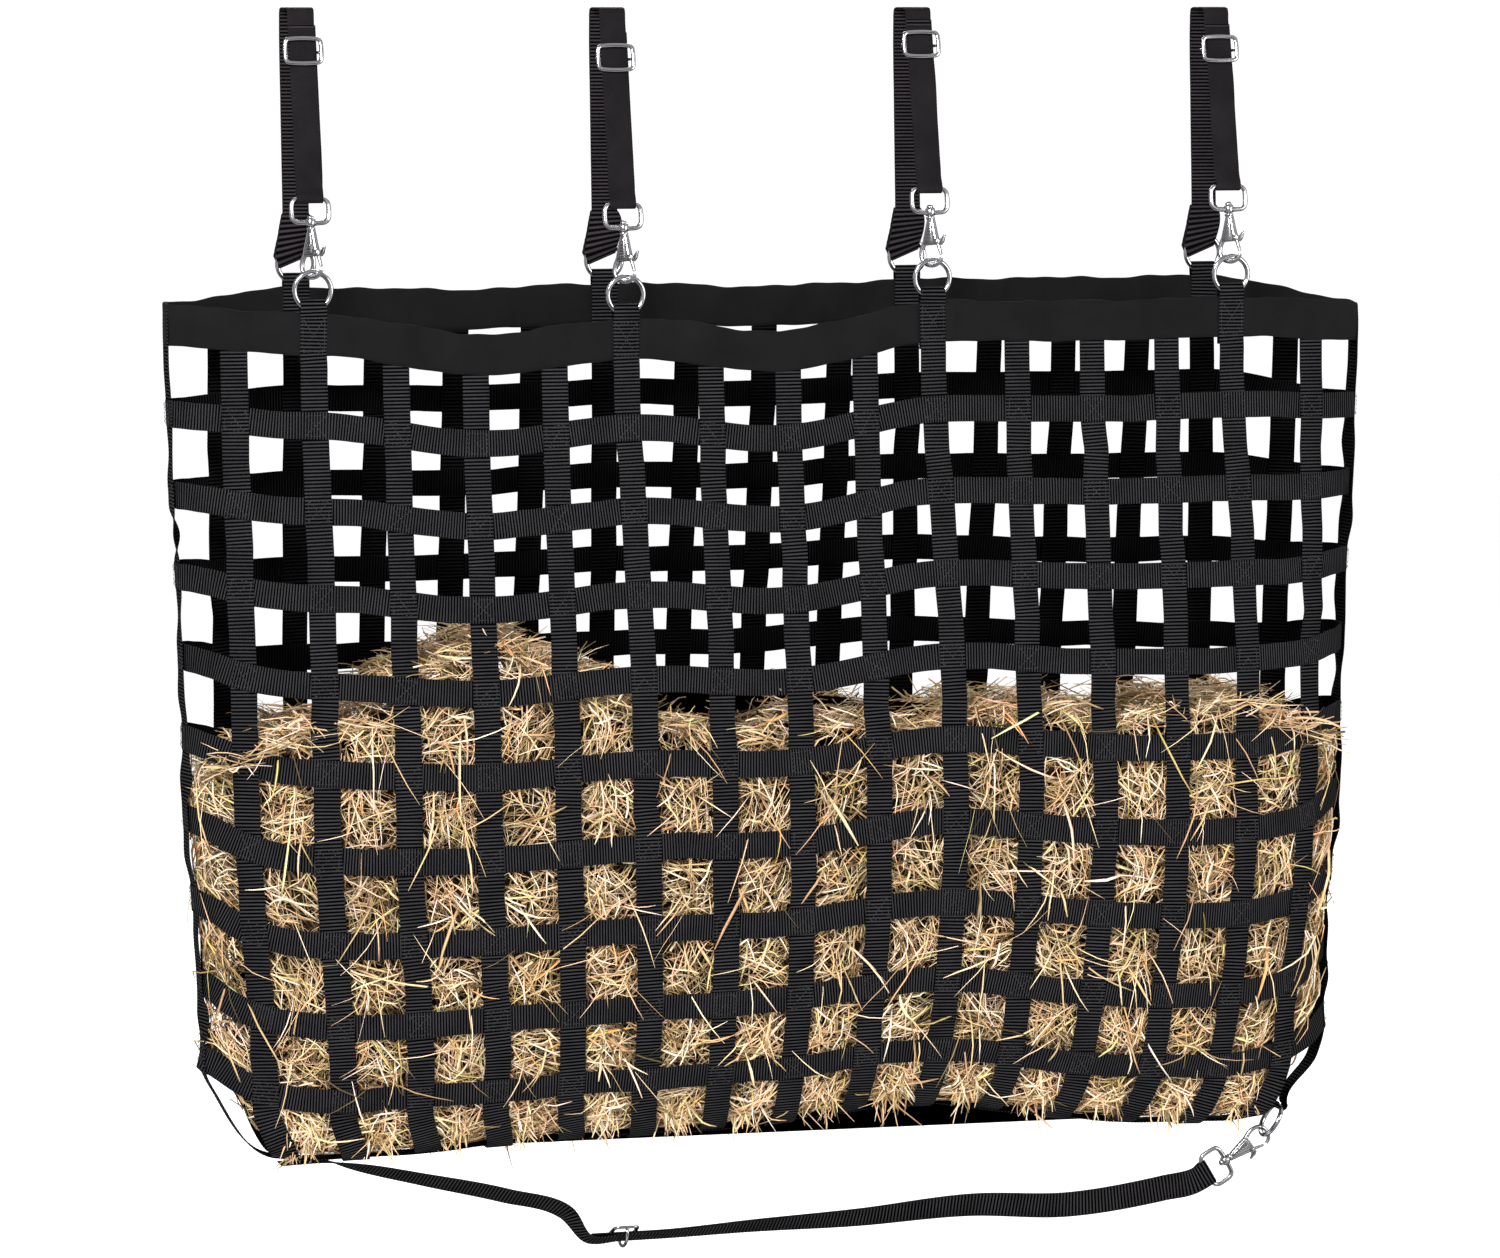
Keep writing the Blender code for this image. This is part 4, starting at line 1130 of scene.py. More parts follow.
def hook_rib(k, side):
    """One of the raised bows on a face of the hook's body, wider towards the hook."""
    depth = -12.0 - 2.9 * k
    middle = -0.6 - 0.30 * k
    reach = 0.95 + 0.36 * k
    bow = [
        vec(middle - reach, side * 3.25, depth - 0.5) * MM,
        vec(middle, side * 3.3, depth + 0.6) * MM,
        vec(middle + reach, side * 3.25, depth - 0.5) * MM,
    ]
    return tube(f"hook_rib_{k}_{side}", bow, 0.42 * MM, LOOKS["zinc"], sides=8)


def build_hook():
    """Snap hook: waisted neck, tapered body with a spring barrel along one side, and the hook."""
    pieces = [casting("hook_plate", HOOK_PLATE, 5.6, 1.3), casting("hook_panel", HOOK_PANEL, 6.5, 0.5)]
    for k in range(HOOK_RIBS):
        for side in (-1, 1):
            pieces.append(hook_rib(k, side))
    pieces.append(zinc_rod("hook_barrel", HOOK_BARREL, HOOK_BARREL_RADII))
    pieces.append(turned("hook_neck", HOOK_NECK, LOOKS["zinc"]))
    for side in (-1, 1):
        ear = casting(f"hook_ear_{side}", HOOK_EAR, 1.5, 0.5)
        pieces.append(place(ear, Matrix.Translation((0, side * HOOK_EAR_SPREAD, 0))))
    pin = turned("hook_pin", HOOK_PIN, LOOKS["zinc"], 16, "Y")
    pieces.append(place(pin, Matrix.Translation(Vector(GATE_PIN))))
    pieces.append(zinc_rod("hook_arm", HOOK_ARM, HOOK_ARM_RADII))
    return join("hook_master", pieces)


def build_gate():
    """Sprung gate with a thumb lever; its origin is on the pin."""
    stem = zinc_rod("gate_stem", GATE_STEM, GATE_STEM_RADII, 16)
    return join("gate_master", [stem, casting("gate_lever", GATE_LEVER, 3.0, 0.7)])


MASTERS = {
    "ring": build_ring(),
    "buckle": build_buckle(),
    "eye": build_eye(),
    "hook": build_hook(),
    "gate": build_gate(),
}
for master in MASTERS.values():
    bpy.context.scene.collection.objects.unlink(master)


def basis(origin, x_axis, z_axis):
    """Matrix with its origin and its X and Z directions given."""
    z_axis = unit(z_axis)
    x_axis = unit(np.asarray(x_axis, float) - z_axis * (np.asarray(x_axis, float) @ z_axis))
    y_axis = np.cross(z_axis, x_axis)
    matrix = np.eye(4)
    matrix[:3, 0], matrix[:3, 1], matrix[:3, 2], matrix[:3, 3] = x_axis, y_axis, z_axis, origin
    return Matrix(matrix.tolist())


def put(kind, node, slot, matrix):
    """A metal part at its place, on the body of the CAD node it stands for."""
    obj = linked(f"look_{node}", MASTERS[kind].data)
    obj.matrix_world = matrix
    return finish_piece(obj, f"{node}_body", slot, node)


def joint_axis(name):
    return np.array(JOINTS[name]["axis"], float)


def put_snap(eye, hook, gate, tilt, swivel, opening):
    """The swivel eye, the hook and its gate, placed by their joints."""
    up = joint_axis(swivel)
    put("eye", eye, "zinc_cast", basis(joint_point(tilt), joint_axis(tilt), up))
    side = np.cross(joint_axis(opening), up)
    put("hook", hook, "zinc_cast", basis(joint_point(swivel), side, up))
    put("gate", gate, "zinc_cast", basis(joint_point(opening), side, up))


# ---------------------------------------------------------------- hangers


# Half the spacing of the two layers of a doubled strap, and the thickness of each.
LAYER = 0.95 * MM
STRAP_THICK = 1.3 * MM


def eye_wrap(origin, leg, front, across, width):
    """Stations round the eye's bar, from behind the strap to its front."""
    wrap = EYE_WIRE + 0.85 * MM + STRAP_THICK / 2
    stations = []
    for step in range(9):
        angle = math.radians(-90 - 180 * step / 8)
        point = origin + leg * wrap * math.cos(angle) + front * wrap * math.sin(angle)
        stations.append((point, across, width))
    return stations


def warp_hitch(obj, ring_top, depth):
    """Gathers a strap's end over a round ring, pointed low on the left and bulging on the right."""
    mesh = obj.data
    points = np.zeros(len(mesh.vertices) * 3, np.float32)
    mesh.vertices.foreach_get("co", points)
    points = points.reshape(-1, 3).astype(float)
    off = points[:, 0] - ring_top[0]
    near = np.abs(points[:, 1] - ring_top[1]) < 12 * MM
    share = np.clip((ring_top[2] + depth - points[:, 2]) / depth, 0, 1) * near
    side = np.clip(off / (WEB_WIDTH / 2), -1, 1)
    left = smooth(-side)
    right = smooth(side)
    tip = np.interp(share, [0, 0.5, 0.86, 1.0], [0, 0.30, 0.66, 0.40])
    flare = left * tip + right * (0.40 * np.sin(math.pi * share**0.8) - 0.10 * share)
    sag = (4.5 + 13.5 * left + 2.5 * right * side) * MM * share**1.5
    points[:, 0] += off * flare
    points[:, 2] -= sag
    puff = 1 + 0.9 * share * (1 - side**2)
    points[:, 1] = ring_top[1] + (points[:, 1] - ring_top[1]) * np.where(near, puff, 1.0)
    mesh.vertices.foreach_set("co", points.astype(np.float32).ravel())
    mesh.update()


def rail_path(rear_ring, ring_top):
    """(y, z) over the rail, from the front strap's top down to just above the rear ring."""
    top = HEIGHT - STRAP_THICK / 2
    half = RAIL_THICK / 2 + STRAP_THICK / 2
    front = RAIL_Y - half
    rear = RAIL_Y + half
    return [
        (front - 0.4 * MM, top - 12 * MM),
        (front + 0.3 * MM, top - 4 * MM),
        (front + 1.6 * MM, top - 1.0 * MM),
        (front + 5 * MM, top),
        (RAIL_Y, top),
        (rear - 5 * MM, top),
        (rear - 1.6 * MM, top - 1.0 * MM),
        (rear - 0.3 * MM, top - 4 * MM),
        (rear + 0.4 * MM, top - 14 * MM),
        (0.6 * rear + 0.4 * rear_ring[1], 0.6 * top + 0.4 * ring_top[2]),
        (rear_ring[1] - 1.6 * MM, ring_top[2] + 40 * MM),
        (rear_ring[1] - 2.6 * MM, ring_top[2] + 20 * MM),
    ]


def ring_wrap(ring_top, strap_across):
    """Stations round the rear ring's wire and back up behind the strap."""
    wrap = RING_WIRE + 0.6 * MM + STRAP_THICK / 2
    stations = []
    for step in range(7):
        angle = math.radians(180 + 30 * step)
        point = ring_top + vec(0, math.cos(angle), math.sin(angle)) * wrap
        stations.append((point, strap_across, WEB_WIDTH * 0.97))
    stations.append((ring_top + vec(0, 3.4 * MM, 14 * MM), strap_across, WEB_WIDTH))
    stations.append((ring_top + vec(0, 2.2 * MM, 30 * MM), strap_across, WEB_WIDTH))
    return stations


def make_hanger(number):
    """One hanger: doubled end on the snap's eye, up through the buckle, over the rail, down behind."""
    label = number + 1
    across = vec(1)
    strap_across = -across
    eye = joint_point(f"swivel_eye_{label}_tilt")
    rear_ring = joint_point(f"rear_ring_{label}_tilt")
    for ring in (f"front_ring_{label}", f"rear_ring_{label}"):
        put("ring", ring, "nickel", basis(joint_point(f"{ring}_tilt"), across, vec(0, 0, 1)))
    names = (f"swivel_eye_{label}", f"snap_hook_{label}", f"snap_gate_{label}")
    put_snap(*names, f"swivel_eye_{label}_tilt", f"snap_hook_{label}_swivel", f"snap_gate_{label}_open")
    leg = joint_axis(f"slide_buckle_{label}_slide")
    leg = leg * np.sign(leg[2])
    front = np.cross(leg, across)
    front = front if front[1] < 0 else -front
    rise = (HEIGHT - STRAP_THICK / 2 - BUCKLE_BELOW_TOP[number] - eye[2]) / leg[2]
    put("buckle", f"slide_buckle_{label}", "nickel", basis(eye + leg * rise, across, leg))

    def beside(along, offset, slip=0.0):
        return (eye + leg * along + front * offset + across * slip, strap_across, WEB_WIDTH)

    rng = np.random.default_rng(600 + label)
    slip = rng.uniform(0.5, 1.1) * MM
    stations = [beside(rise + 25 * MM, -LAYER, slip), beside(rise + 8 * MM, -LAYER, slip)]
    for share in (0.75, 0.5, 0.25):
        stations.append(beside(rise * share, -LAYER - rng.uniform(0, 0.5) * MM, slip))
    stations.append(beside(11 * MM, -LAYER, 0.3 * MM))
    stations += eye_wrap(eye, leg, front, strap_across, WEB_WIDTH * 0.985)
    stations.append(beside(11 * MM, LAYER))
    for share in (0.25, 0.5, 0.75):
        stations.append(beside(rise * share, LAYER + rng.uniform(0, 0.5) * MM, rng.normal(0, 0.4) * MM))
    stations.append(beside(rise - 8 * MM, LAYER))
    stations.append(beside(rise + 9 * MM, LAYER))
    ring_top = rear_ring + vec(0, 0, 2 * RING_LOOK_RADIUS)
    for y, z in rail_path(rear_ring, ring_top):
        stations.append((vec(eye[0], y, z), strap_across, WEB_WIDTH))
    stations += ring_wrap(ring_top, strap_across)
    obj = ribbon(f"look_hanger_strap_{label}", stations, LOOKS["strap"], ribs=(0.16, 0.95))
    warp_hitch(obj, ring_top, 30 * MM)
    finish_piece(obj, f"hanger_{label}_body", "strap_twill", f"hanger_strap_{label}")


for number in range(len(HANGER_UPRIGHTS)):
    make_hanger(number)


# ---------------------------------------------------------------- bottom strap


CORNER_RING_SLOPE = math.radians(60)
BUCKLE_SPOT = vec(-153 * MM, 0, 12.758 * MM)
SEWN_X = -0.46
SEWN_WIDTH = 15 * MM
BEND_LENGTH = 110 * MM
TAIL_PAST_BUCKLE = 46 * MM
BUCKLE_KNOT = 7


def bottom_line(eye_bar, sewn):
    """(point, across, width, out, run) from the eye to the sewn end, turning from upright to flat."""
    # Point, turn as a share of a right angle, share of the full width.
    spots = [
        (eye_bar - vec(12 * MM, 0, 7 * MM), 0.0, 1.0),
        (vec(0.40, 0, eye_bar[2] - 13 * MM), 0.0, 1.0),
        (vec(0.30, 0, eye_bar[2] - 24 * MM), 0.1, 1.0),
        (vec(0.20, 0, 24 * MM), 0.25, 1.0),
        (vec(0.08, 0, 18 * MM), 0.45, 1.0),
        (vec(-0.02, 0, 16 * MM), 0.6, 1.0),
        (BUCKLE_SPOT + vec(34 * MM), 0.7, 1.0),
        (BUCKLE_SPOT, 0.7, 1.0),
        (BUCKLE_SPOT - vec(34 * MM), 0.7, 1.0),
        (vec(-0.21, 0, 40 * MM), 0.58, 1.0),
        (vec(-0.27, 0, 60 * MM), 0.54, 1.0),
        (vec(-0.35, 0, 80 * MM), 0.60, 1.0),
        (vec(-0.42, 0, sewn[2] - 6 * MM), 0.77, 1.0),
        (sewn + vec(0.015), 0.96, 0.95),
        (sewn - vec(0.03), 1.0, 0.9),
    ]
    knots = []
    run = 0.0
    for k, (point, turned_by, width) in enumerate(spots):
        before = spots[max(k - 1, 0)][0]
        after = spots[min(k + 1, len(spots) - 1)][0]
        tangent = vec(-1) if abs(k - BUCKLE_KNOT) <= 1 else unit(after - before)
        upright = unit(vec(0, 0, -1) + tangent * tangent[2])
        sideways = np.cross(tangent, upright)
        sideways = sideways if sideways[1] > 0 else -sideways
        angle = turned_by * math.pi / 2
        across = upright * math.cos(angle) + sideways * math.sin(angle)
        out = unit(np.cross(tangent, across))
        if out[1] > 0 or (abs(out[1]) < 0.2 and out[2] > 0):
            out = -out
        run += float(np.linalg.norm(point - before))
        knots.append((point, across, WEB_WIDTH * width, out, run))
    return knots


def make_bottom_strap():
    ring_line = vec(-math.cos(CORNER_RING_SLOPE), 0, -math.sin(CORNER_RING_SLOPE))
    put("ring", "corner_ring", "nickel", basis(corner_pivot(), vec(0, 1), ring_line))
    names = ("bottom_swivel_eye", "bottom_snap_hook", "bottom_snap_gate")
    put_snap(*names, "bottom_swivel_eye_tilt", "bottom_snap_hook_swivel", "bottom_snap_gate_open")
    eye = joint_point("bottom_swivel_eye_tilt")
    pull = -joint_axis("bottom_snap_hook_swivel")
    sewn_z = float(floor_point(SEWN_X)[2]) - 1.6 * MM - 2.2 * MM
    knots = bottom_line(eye, vec(SEWN_X, 0, sewn_z))
    _, buckle_across, _, _, buckle_run = knots[BUCKLE_KNOT]

    def layer(offset, end):
        found = []
        for point, across, width, out, run in knots:
            if run <= end:
                found.append((point + out * offset, across, width))
        return found

    down = np.cross(pull, vec(0, 1))
    down = down if down[2] < 0 else -down
    loop = eye_wrap(eye, -pull, vec(0, -1), down, WEB_WIDTH * 0.98)
    rear = layer(-LAYER, buckle_run + TAIL_PAST_BUCKLE)
    front = layer(LAYER, math.inf)
    obj = ribbon("look_bottom_strap", rear[::-1] + loop + front, LOOKS["ribbed"], ribs=(0.9, 0.9))
    sewn_to = vec(SEWN_X + SEWN_WIDTH, 0, sewn_z)
    bend = (tuple(sewn_to), tuple(sewn_to + vec(BEND_LENGTH)))
    finish_piece(obj, "bottom_strap_body", "strap_twill", "bottom_strap", bend=bend)
    put("buckle", "bottom_slide_buckle", "nickel", basis(BUCKLE_SPOT, buckle_across, vec(-1)))


make_bottom_strap()


# ---------------------------------------------------------------- hay


STALK_KNOTS = 5
STALK_TAPER = np.array([0.8, 1.0, 0.98, 0.85, 0.35])
HAY_LEVEL = 0.30
CORE_INSET = 24 * MM
CORE_BELOW_TOP = 40 * MM
CORE_ABOVE_FLOOR = 3.5 * MM
MOST_BULGE = 8 * MM


def heap_top(x):
    mound = 92 * MM * np.exp(-(((x + 0.29) / 0.1) ** 2))
    left = 10 * MM * smooth((-0.40 - x) / 0.1)
    ends = 38 * MM * smooth((np.abs(x) - 0.50) / 0.06)
    waves = 7 * MM * np.sin(x * 31 + 1.0) + 5 * MM * np.sin(x * 67 + 2.2)
    return 0.515 + mound + left - ends + waves


def corner_floor(x):
    """Height of the net's underside, which rises at both ends to where the side straps come round."""
    lift = 84 * MM * smooth((np.abs(x) - 0.478) / 0.105)
    return floor_point(x)[..., 2] + lift


def from_end(around):
    """Distance from the nearer end of the net, counted in uprights."""
    return np.abs((around + UPRIGHTS / 2) % UPRIGHTS - UPRIGHTS / 2)


def stalk_mesh(name, spines, width, thick, tint, depth, rng):
    """Closed three-sided stalks, as one object."""
    count, knots = spines.shape[:2]
    tangent = unit(np.gradient(spines, axis=1))
    side = unit(np.cross(tangent, unit(rng.normal(size=(count, 1, 3)))))
    other = np.cross(tangent, side)
    corners = []
    for angle in (90, 210, 330):
        across = side * math.cos(math.radians(angle)) * width[:, None, None]
        rise = other * math.sin(math.radians(angle)) * thick[:, None, None]
        corners.append(spines + (across + rise) * STALK_TAPER[None, :, None])
    points = np.stack(corners, axis=2)
    obj = mesh_object(name, points.reshape(-1, 3), *three_sided(count, knots), LOOKS["hay"])
    shape = (count, knots, 3)
    length = np.linalg.norm(spines[:, -1] - spines[:, 0], axis=-1)
    along = np.linspace(0, 1, knots)[None, :, None] * length[:, None, None]
    round_it = np.arange(3)[None, None] / 3.0
    hue = np.broadcast_to(rng.random((count, 1, 1)), shape)
    stalk = np.stack([np.broadcast_to(along, shape), np.broadcast_to(round_it, shape), hue], axis=-1)
    point_attribute(obj, "tint", np.broadcast_to(tint[:, None, None], shape).ravel())
    point_attribute(obj, "stalk", stalk.reshape(-1, 3))
    # depth sets the painted shade of each stalk in the hay material.
    point_attribute(obj, "depth", np.broadcast_to(np.reshape(depth, (count, -1, 1)), shape).ravel())
    return finish_piece(obj, "net", None)


def opening(around, level):
    """1 at the middle of an opening between straps, 0 over a strap."""
    u = np.abs(np.sin(math.pi * around))
    v = np.abs(np.sin(math.pi * (level - FIRST_BAND) / PITCH))
    return smooth((u - 0.5) / 0.5) * smooth((v - 0.5) / 0.5)


def shell_spines(around, level, inset, heading, length, bend, rise, rng):
    """Spines that follow the net's surface, at a distance inside it."""
    t = np.linspace(-0.5, 0.5, STALK_KNOTS)[None]
    bow = (0.25 - t**2) * 4
    along = t * length[:, None]
    off = bow * bend[:, None] + rng.normal(0, 0.6 * MM, (len(length), STALK_KNOTS))
    c, s = np.cos(heading)[:, None], np.sin(heading)[:, None]
    du = along * c - off * s
    dv = along * s + off * c
    u = around[:, None] + du / PITCH
    v = np.clip(level[:, None] + dv, 0.01, BOTTOM_LEVEL - 0.002)
    w = inset[:, None] + t * rise[:, None] + rng.normal(0, 0.5 * MM, u.shape)
    w = np.maximum(w, 3.0 * MM) - opening(u, v) * MOST_BULGE * np.exp(-inset[:, None] / (14 * MM))
    centre, _, _, out = axes(u, v)
    spines = centre - out * w[..., None]
    flipped = np.sign(spines[..., 1]) != np.sign(centre[..., 1])
    spines[..., 1] = np.where(flipped & (np.abs(centre[..., 1]) > 6 * MM), 0.0, spines[..., 1])
    # The second value is how deep each knot lies, which sets its painted shade.
    return spines, np.clip(w / (24 * MM), 0, 1)


def stalk_sizes(count, rng):
    length = np.clip(rng.lognormal(math.log(40 * MM), 0.42, count), 12 * MM, 105 * MM)
    width = np.clip(rng.lognormal(math.log(0.76 * MM), 0.38, count), 0.35 * MM, 1.9 * MM)
    thick = width * rng.uniform(0.35, 1.0, count)
    return length, width, thick


def tuft_tint(points, rng):
    """Tones that drift from tuft to tuft, with single odd stalks among them."""
    count = len(points)
    drift = np.sin(points[:, 0] * 41 + 1.3) * np.sin(points[:, 2] * 37 + points[:, 0] * 19)
    tint = 0.60 + 0.10 * drift + rng.normal(0, 0.2, count)
    odd = rng.random(count)
    tint = np.where(odd < 0.05, rng.uniform(0.93, 1.0, count), tint)
    tint = np.where(odd > 0.93, rng.uniform(0.0, 0.22, count), tint)
    return np.clip(tint, 0.0, 1.0)


def shell_stalks(name, count, first, last, seed, deepest=26 * MM, start=HAY_LEVEL, crowd=1.0):
    """Stalks lying just inside the net, between two places counted in uprights."""
    rng = np.random.default_rng(seed)
    want = int(count * 1.25)
    around = rng.uniform(first, last, want)
    level = BOTTOM_LEVEL - 1 * MM - (BOTTOM_LEVEL - start) * rng.random(want) ** crowd
    inset = 3 * MM + (deepest - 3 * MM) * rng.random(want) ** 1.15
    heading = rng.uniform(-math.pi, math.pi, want)
    tufts = 1.5 * np.sin(around * 1.9 + seed) + 1.2 * np.sin(level * 29 + around * 0.8)
    heading = np.where(rng.random(want) < 0.45, tufts + rng.normal(0, 0.35, want), heading)
    length, width, thick = stalk_sizes(want, rng)
    bend = rng.normal(0, 0.10, want) * length
    rise = rng.normal(0, 6 * MM, want)
    spines, depth = shell_spines(around, level, inset, heading, length, bend, rise, rng)
    middle = spines[:, STALK_KNOTS // 2]
    keep = spines[..., 2].max(axis=1) < heap_top(middle[:, 0]) + rng.uniform(-6, 14, want) * MM
    hollow = smooth((0.75 - from_end(around)) / 0.5) * smooth((level - 0.60) / 0.08)
    keep &= rng.random(want) > 0.60 * hollow
    keep &= (spines[..., 2] - corner_floor(spines[..., 0])).min(axis=1) > 0
    keep &= np.cumsum(keep) <= count
    # Painted shade for each stalk, from how deep it lies, with a little at random.
    painted_shade = depth[keep] * 0.75 + rng.uniform(-0.1, 0.15, (int(keep.sum()), 1))
    tint = tuft_tint(middle, rng)[keep]
    stalk_mesh(name, spines[keep], width[keep], thick[keep], tint, np.clip(painted_shade, 0, 1), rng)


def heap_spread(z):
    """Half the depth available at a height, for points on top of the heap."""
    levels = np.clip(HEIGHT - REAR_RIM_DROP - z, 0.02, BOTTOM_LEVEL - 0.01)
    return half_depth(levels) - 8 * MM


def heap_stalks(name, count, seed):
    """Stalks on top of the heap."""
    rng = np.random.default_rng(seed)
    x = rng.uniform(-0.555, 0.555, count)
    z = heap_top(x) + rng.uniform(-10, 8, count) * MM
    room = heap_spread(z) * np.minimum(1.0, (0.575 - np.abs(x)) / 0.05) ** 0.5
    y = rng.uniform(-1, 1, count) * room
    length, width, thick = stalk_sizes(count, rng)
    heading = rng.uniform(-math.pi, math.pi, count)
    climb = rng.normal(0.05, 0.28, count)
    t = np.linspace(-0.5, 0.5, STALK_KNOTS)[None]
    bow = (0.25 - t**2) * 4 * (rng.normal(0, 0.08, count) * length)[:, None]
    run = t * length[:, None]
    spines = np.stack(
        [
            x[:, None] + run * np.cos(heading)[:, None],
            y[:, None] + run * np.sin(heading)[:, None] * 0.6,
            z[:, None] + run * climb[:, None] + bow,
        ],
        axis=-1,
    )
    limit = np.minimum(room, 90 * MM)[:, None]
    spines[..., 1] = np.clip(spines[..., 1], -limit, limit)
    spines[..., 0] = np.clip(spines[..., 0], -0.570, 0.570)
    # Painted shade for the stalks on top, light and at random.
    depth = np.clip(rng.uniform(-0.2, 0.5, (count, 1)), 0, 1)
    stalk_mesh(name, spines, width, thick, tuft_tint(spines[:, 2], rng), depth, rng)


def poking_stalks(name, count, seed, first, last):
    """Stalks that come out of an opening and lie over the straps beside it."""
    rng = np.random.default_rng(seed)
    column = rng.integers(first, last, count)
    low = int((HAY_LEVEL - FIRST_BAND) / PITCH)
    row = rng.integers(low, BANDS, count)
    share_u = rng.uniform(0.3, 0.7, count)
    share_v = rng.uniform(0.3, 0.7, count)
    u0 = column + share_u
    v0 = FIRST_BAND + (row + share_v) * PITCH
    v0 = np.minimum(v0, BOTTOM_LEVEL - 8 * MM)
    heading = rng.uniform(-math.pi, math.pi, count)
    droop = rng.random(count) < 0.72
    heading = np.where(droop, rng.normal(math.pi / 2, 0.75, count), heading)
    length, width, thick = stalk_sizes(count, rng)
    length = np.clip(length * 1.15, 26 * MM, 80 * MM)
    t = np.linspace(0, 1, STALK_KNOTS)[None]
    bend = (rng.normal(0, 0.16, count) * length)[:, None] * t**2
    run = t * length[:, None]
    c, s = np.cos(heading)[:, None], np.sin(heading)[:, None]
    u = u0[:, None] + (run * c - bend * s) / PITCH
    v = v0[:, None] + run * s + bend * c
    lift = rng.uniform(3.0, 9.0, count)[:, None] * MM
    stray = rng.normal(0, 3.0, count)[:, None] * MM
    w = 7 * MM - (7 * MM + lift) * smooth(t * 2.2) - stray * (t - 0.4).clip(0) ** 2
    centre, _, _, out = axes(u, np.clip(v, 0.01, BOTTOM_LEVEL - 0.002))
    spines = centre - out * w[..., None]
    over = np.maximum(0.0, v - (BOTTOM_LEVEL - 0.002))
    spines[..., 2] -= over
    spines[..., 1] = np.clip(spines[..., 1], -0.107, 0.107)
    spines[..., 2] = np.maximum(spines[..., 2], 0.012)
    keep = spines[..., 2].max(axis=1) < heap_top(spines[:, 0, 0]) + 16 * MM
    keep &= (spines[..., 2] - corner_floor(spines[..., 0])).min(axis=1) > -14 * MM
    # Painted shade, darkest at the root inside the net and none along the outer part.
    depth = np.clip(0.5 - 1.5 * t, 0, 1) * np.ones((count, 1))
    tint = tuft_tint(spines[:, 0], rng)
    stalk_mesh(name, spines[keep], width[keep], thick[keep], tint[keep], depth[keep], rng)


def hanging_stalks(name, count, seed):
    """A few stalks that hang down through the slots of the bottom."""
    rng = np.random.default_rng(seed)
    slot = rng.integers(1, UPRIGHTS - 1, count) + rng.uniform(0.3, 0.7, count)
    side = np.where(rng.random(count) < 0.7, slot, ROUND - slot)
    level = BOTTOM_LEVEL - rng.uniform(2, 44, count) * MM
    centre, along, _, out = axes(side, level)
    length, width, thick = stalk_sizes(count, rng)
    length = length * rng.choice([0.45, 0.7, 1.0], count)
    way = unit(along * rng.normal(0, 0.7, (count, 1)) + out * 0.5 + vec(0, 0, -1))
    t = np.linspace(-0.55, 0.45, STALK_KNOTS)[None, :, None]
    bow = (0.25 - t**2) * rng.normal(0, 0.3, (count, 1, 1)) * length[:, None, None] * along[:, None]
    spines = centre[:, None] + way[:, None] * t * length[:, None, None] + bow
    spines[..., 2] = np.maximum(spines[..., 2], 0.004)
    # Painted shade for the hanging stalks, light and at random.
    depth = np.clip(rng.uniform(-0.2, 0.3, (count, 1)), 0, 1)
    stalk_mesh(name, spines, width, thick, tuft_tint(spines[:, 2], rng), depth, rng)


def make_core():
    """The inside of the hay, just behind the stalks that show, in dark colours that paint its shade."""
    rng = np.random.default_rng(9)
    around = np.linspace(0, ROUND, ROUND * 12, endpoint=False)
    facing = np.where(around <= UPRIGHTS, -1, 1)
    rows = []
    x_here = surface(around, np.full(len(around), 0.5))[:, 0]
    top_level = np.full(len(around), 0.36)
    for _ in range(12):
        z_here = surface(around, top_level)[:, 2]
        top_level = np.clip(top_level + (z_here - (heap_top(x_here) - CORE_BELOW_TOP)), 0.1, 0.7)
    for share in np.linspace(1, 0, 44):
        level = top_level + (BOTTOM_LEVEL - 1 * MM - top_level) * share
        centre, _, _, out = axes(around, level)
        lumps = 4 * MM * np.sin(around * 5.1 + level * 60) * np.sin(level * 83 + around * 2.3)
        lumps = lumps * (1 - smooth((share - 0.85) / 0.1))
        inset = CORE_INSET * (1 - 0.74 * smooth((share - 0.88) / 0.11)) + lumps
        inset = inset + 26 * MM * smooth((1.1 - from_end(around)) / 1.1)
        inner = centre - out * inset[:, None]
        inner[:, 1] = facing * np.maximum(facing * inner[:, 1], 0.4 * MM)
        hump = 12 * MM * np.exp(-(((inner[:, 0] - 0.12) / 0.12) ** 2))
        inner[:, 2] = np.maximum(inner[:, 2], corner_floor(inner[:, 0]) + CORE_ABOVE_FLOOR + hump)
        rows.append(inner)
    rim = rows[-1]
    for share in np.linspace(0.12, 1, 14):
        row = rim.copy()
        row[:, 1] = rim[:, 1] * (1 - share) + facing * 0.3 * MM * share
        row[:, 2] = rim[:, 2] + 6 * MM * math.sin(share * math.pi / 2) + rng.normal(0, 0.6 * MM, len(around))
        rows.append(row)
    obj = mesh_object("hay_core", *skin(np.array(rows)), LOOKS["core"])
    return finish_piece(obj, "net", None)


def make_hay():
    make_core()
    shell_stalks("hay_front_1", 6000, -0.4, 5.5, 11)
    shell_stalks("hay_front_2", 6000, 5.3, 11.0, 12)
    shell_stalks("hay_front_3", 6000, 10.8, 16.4, 13)
    shell_stalks("hay_rear_1", 5000, 16.0, 24.0, 14)
    shell_stalks("hay_rear_2", 5000, 24.0, 32.0, 15)
    heap_stalks("hay_top", 4600, 16)
    shell_stalks("hay_floor_front", 2800, 0.4, 15.6, 21, 20 * MM, BOTTOM_LEVEL - 0.11, 2.4)
    shell_stalks("hay_floor_rear", 2300, 16.4, 31.6, 22, 20 * MM, BOTTOM_LEVEL - 0.11, 2.4)
    hanging_stalks("hay_hanging", 640, 17)
    poking_stalks("hay_loose_front", 620, 18, 0, 16)
    poking_stalks("hay_loose_rear", 420, 19, 16, 32)


make_hay()


# ---------------------------------------------------------------- stitching


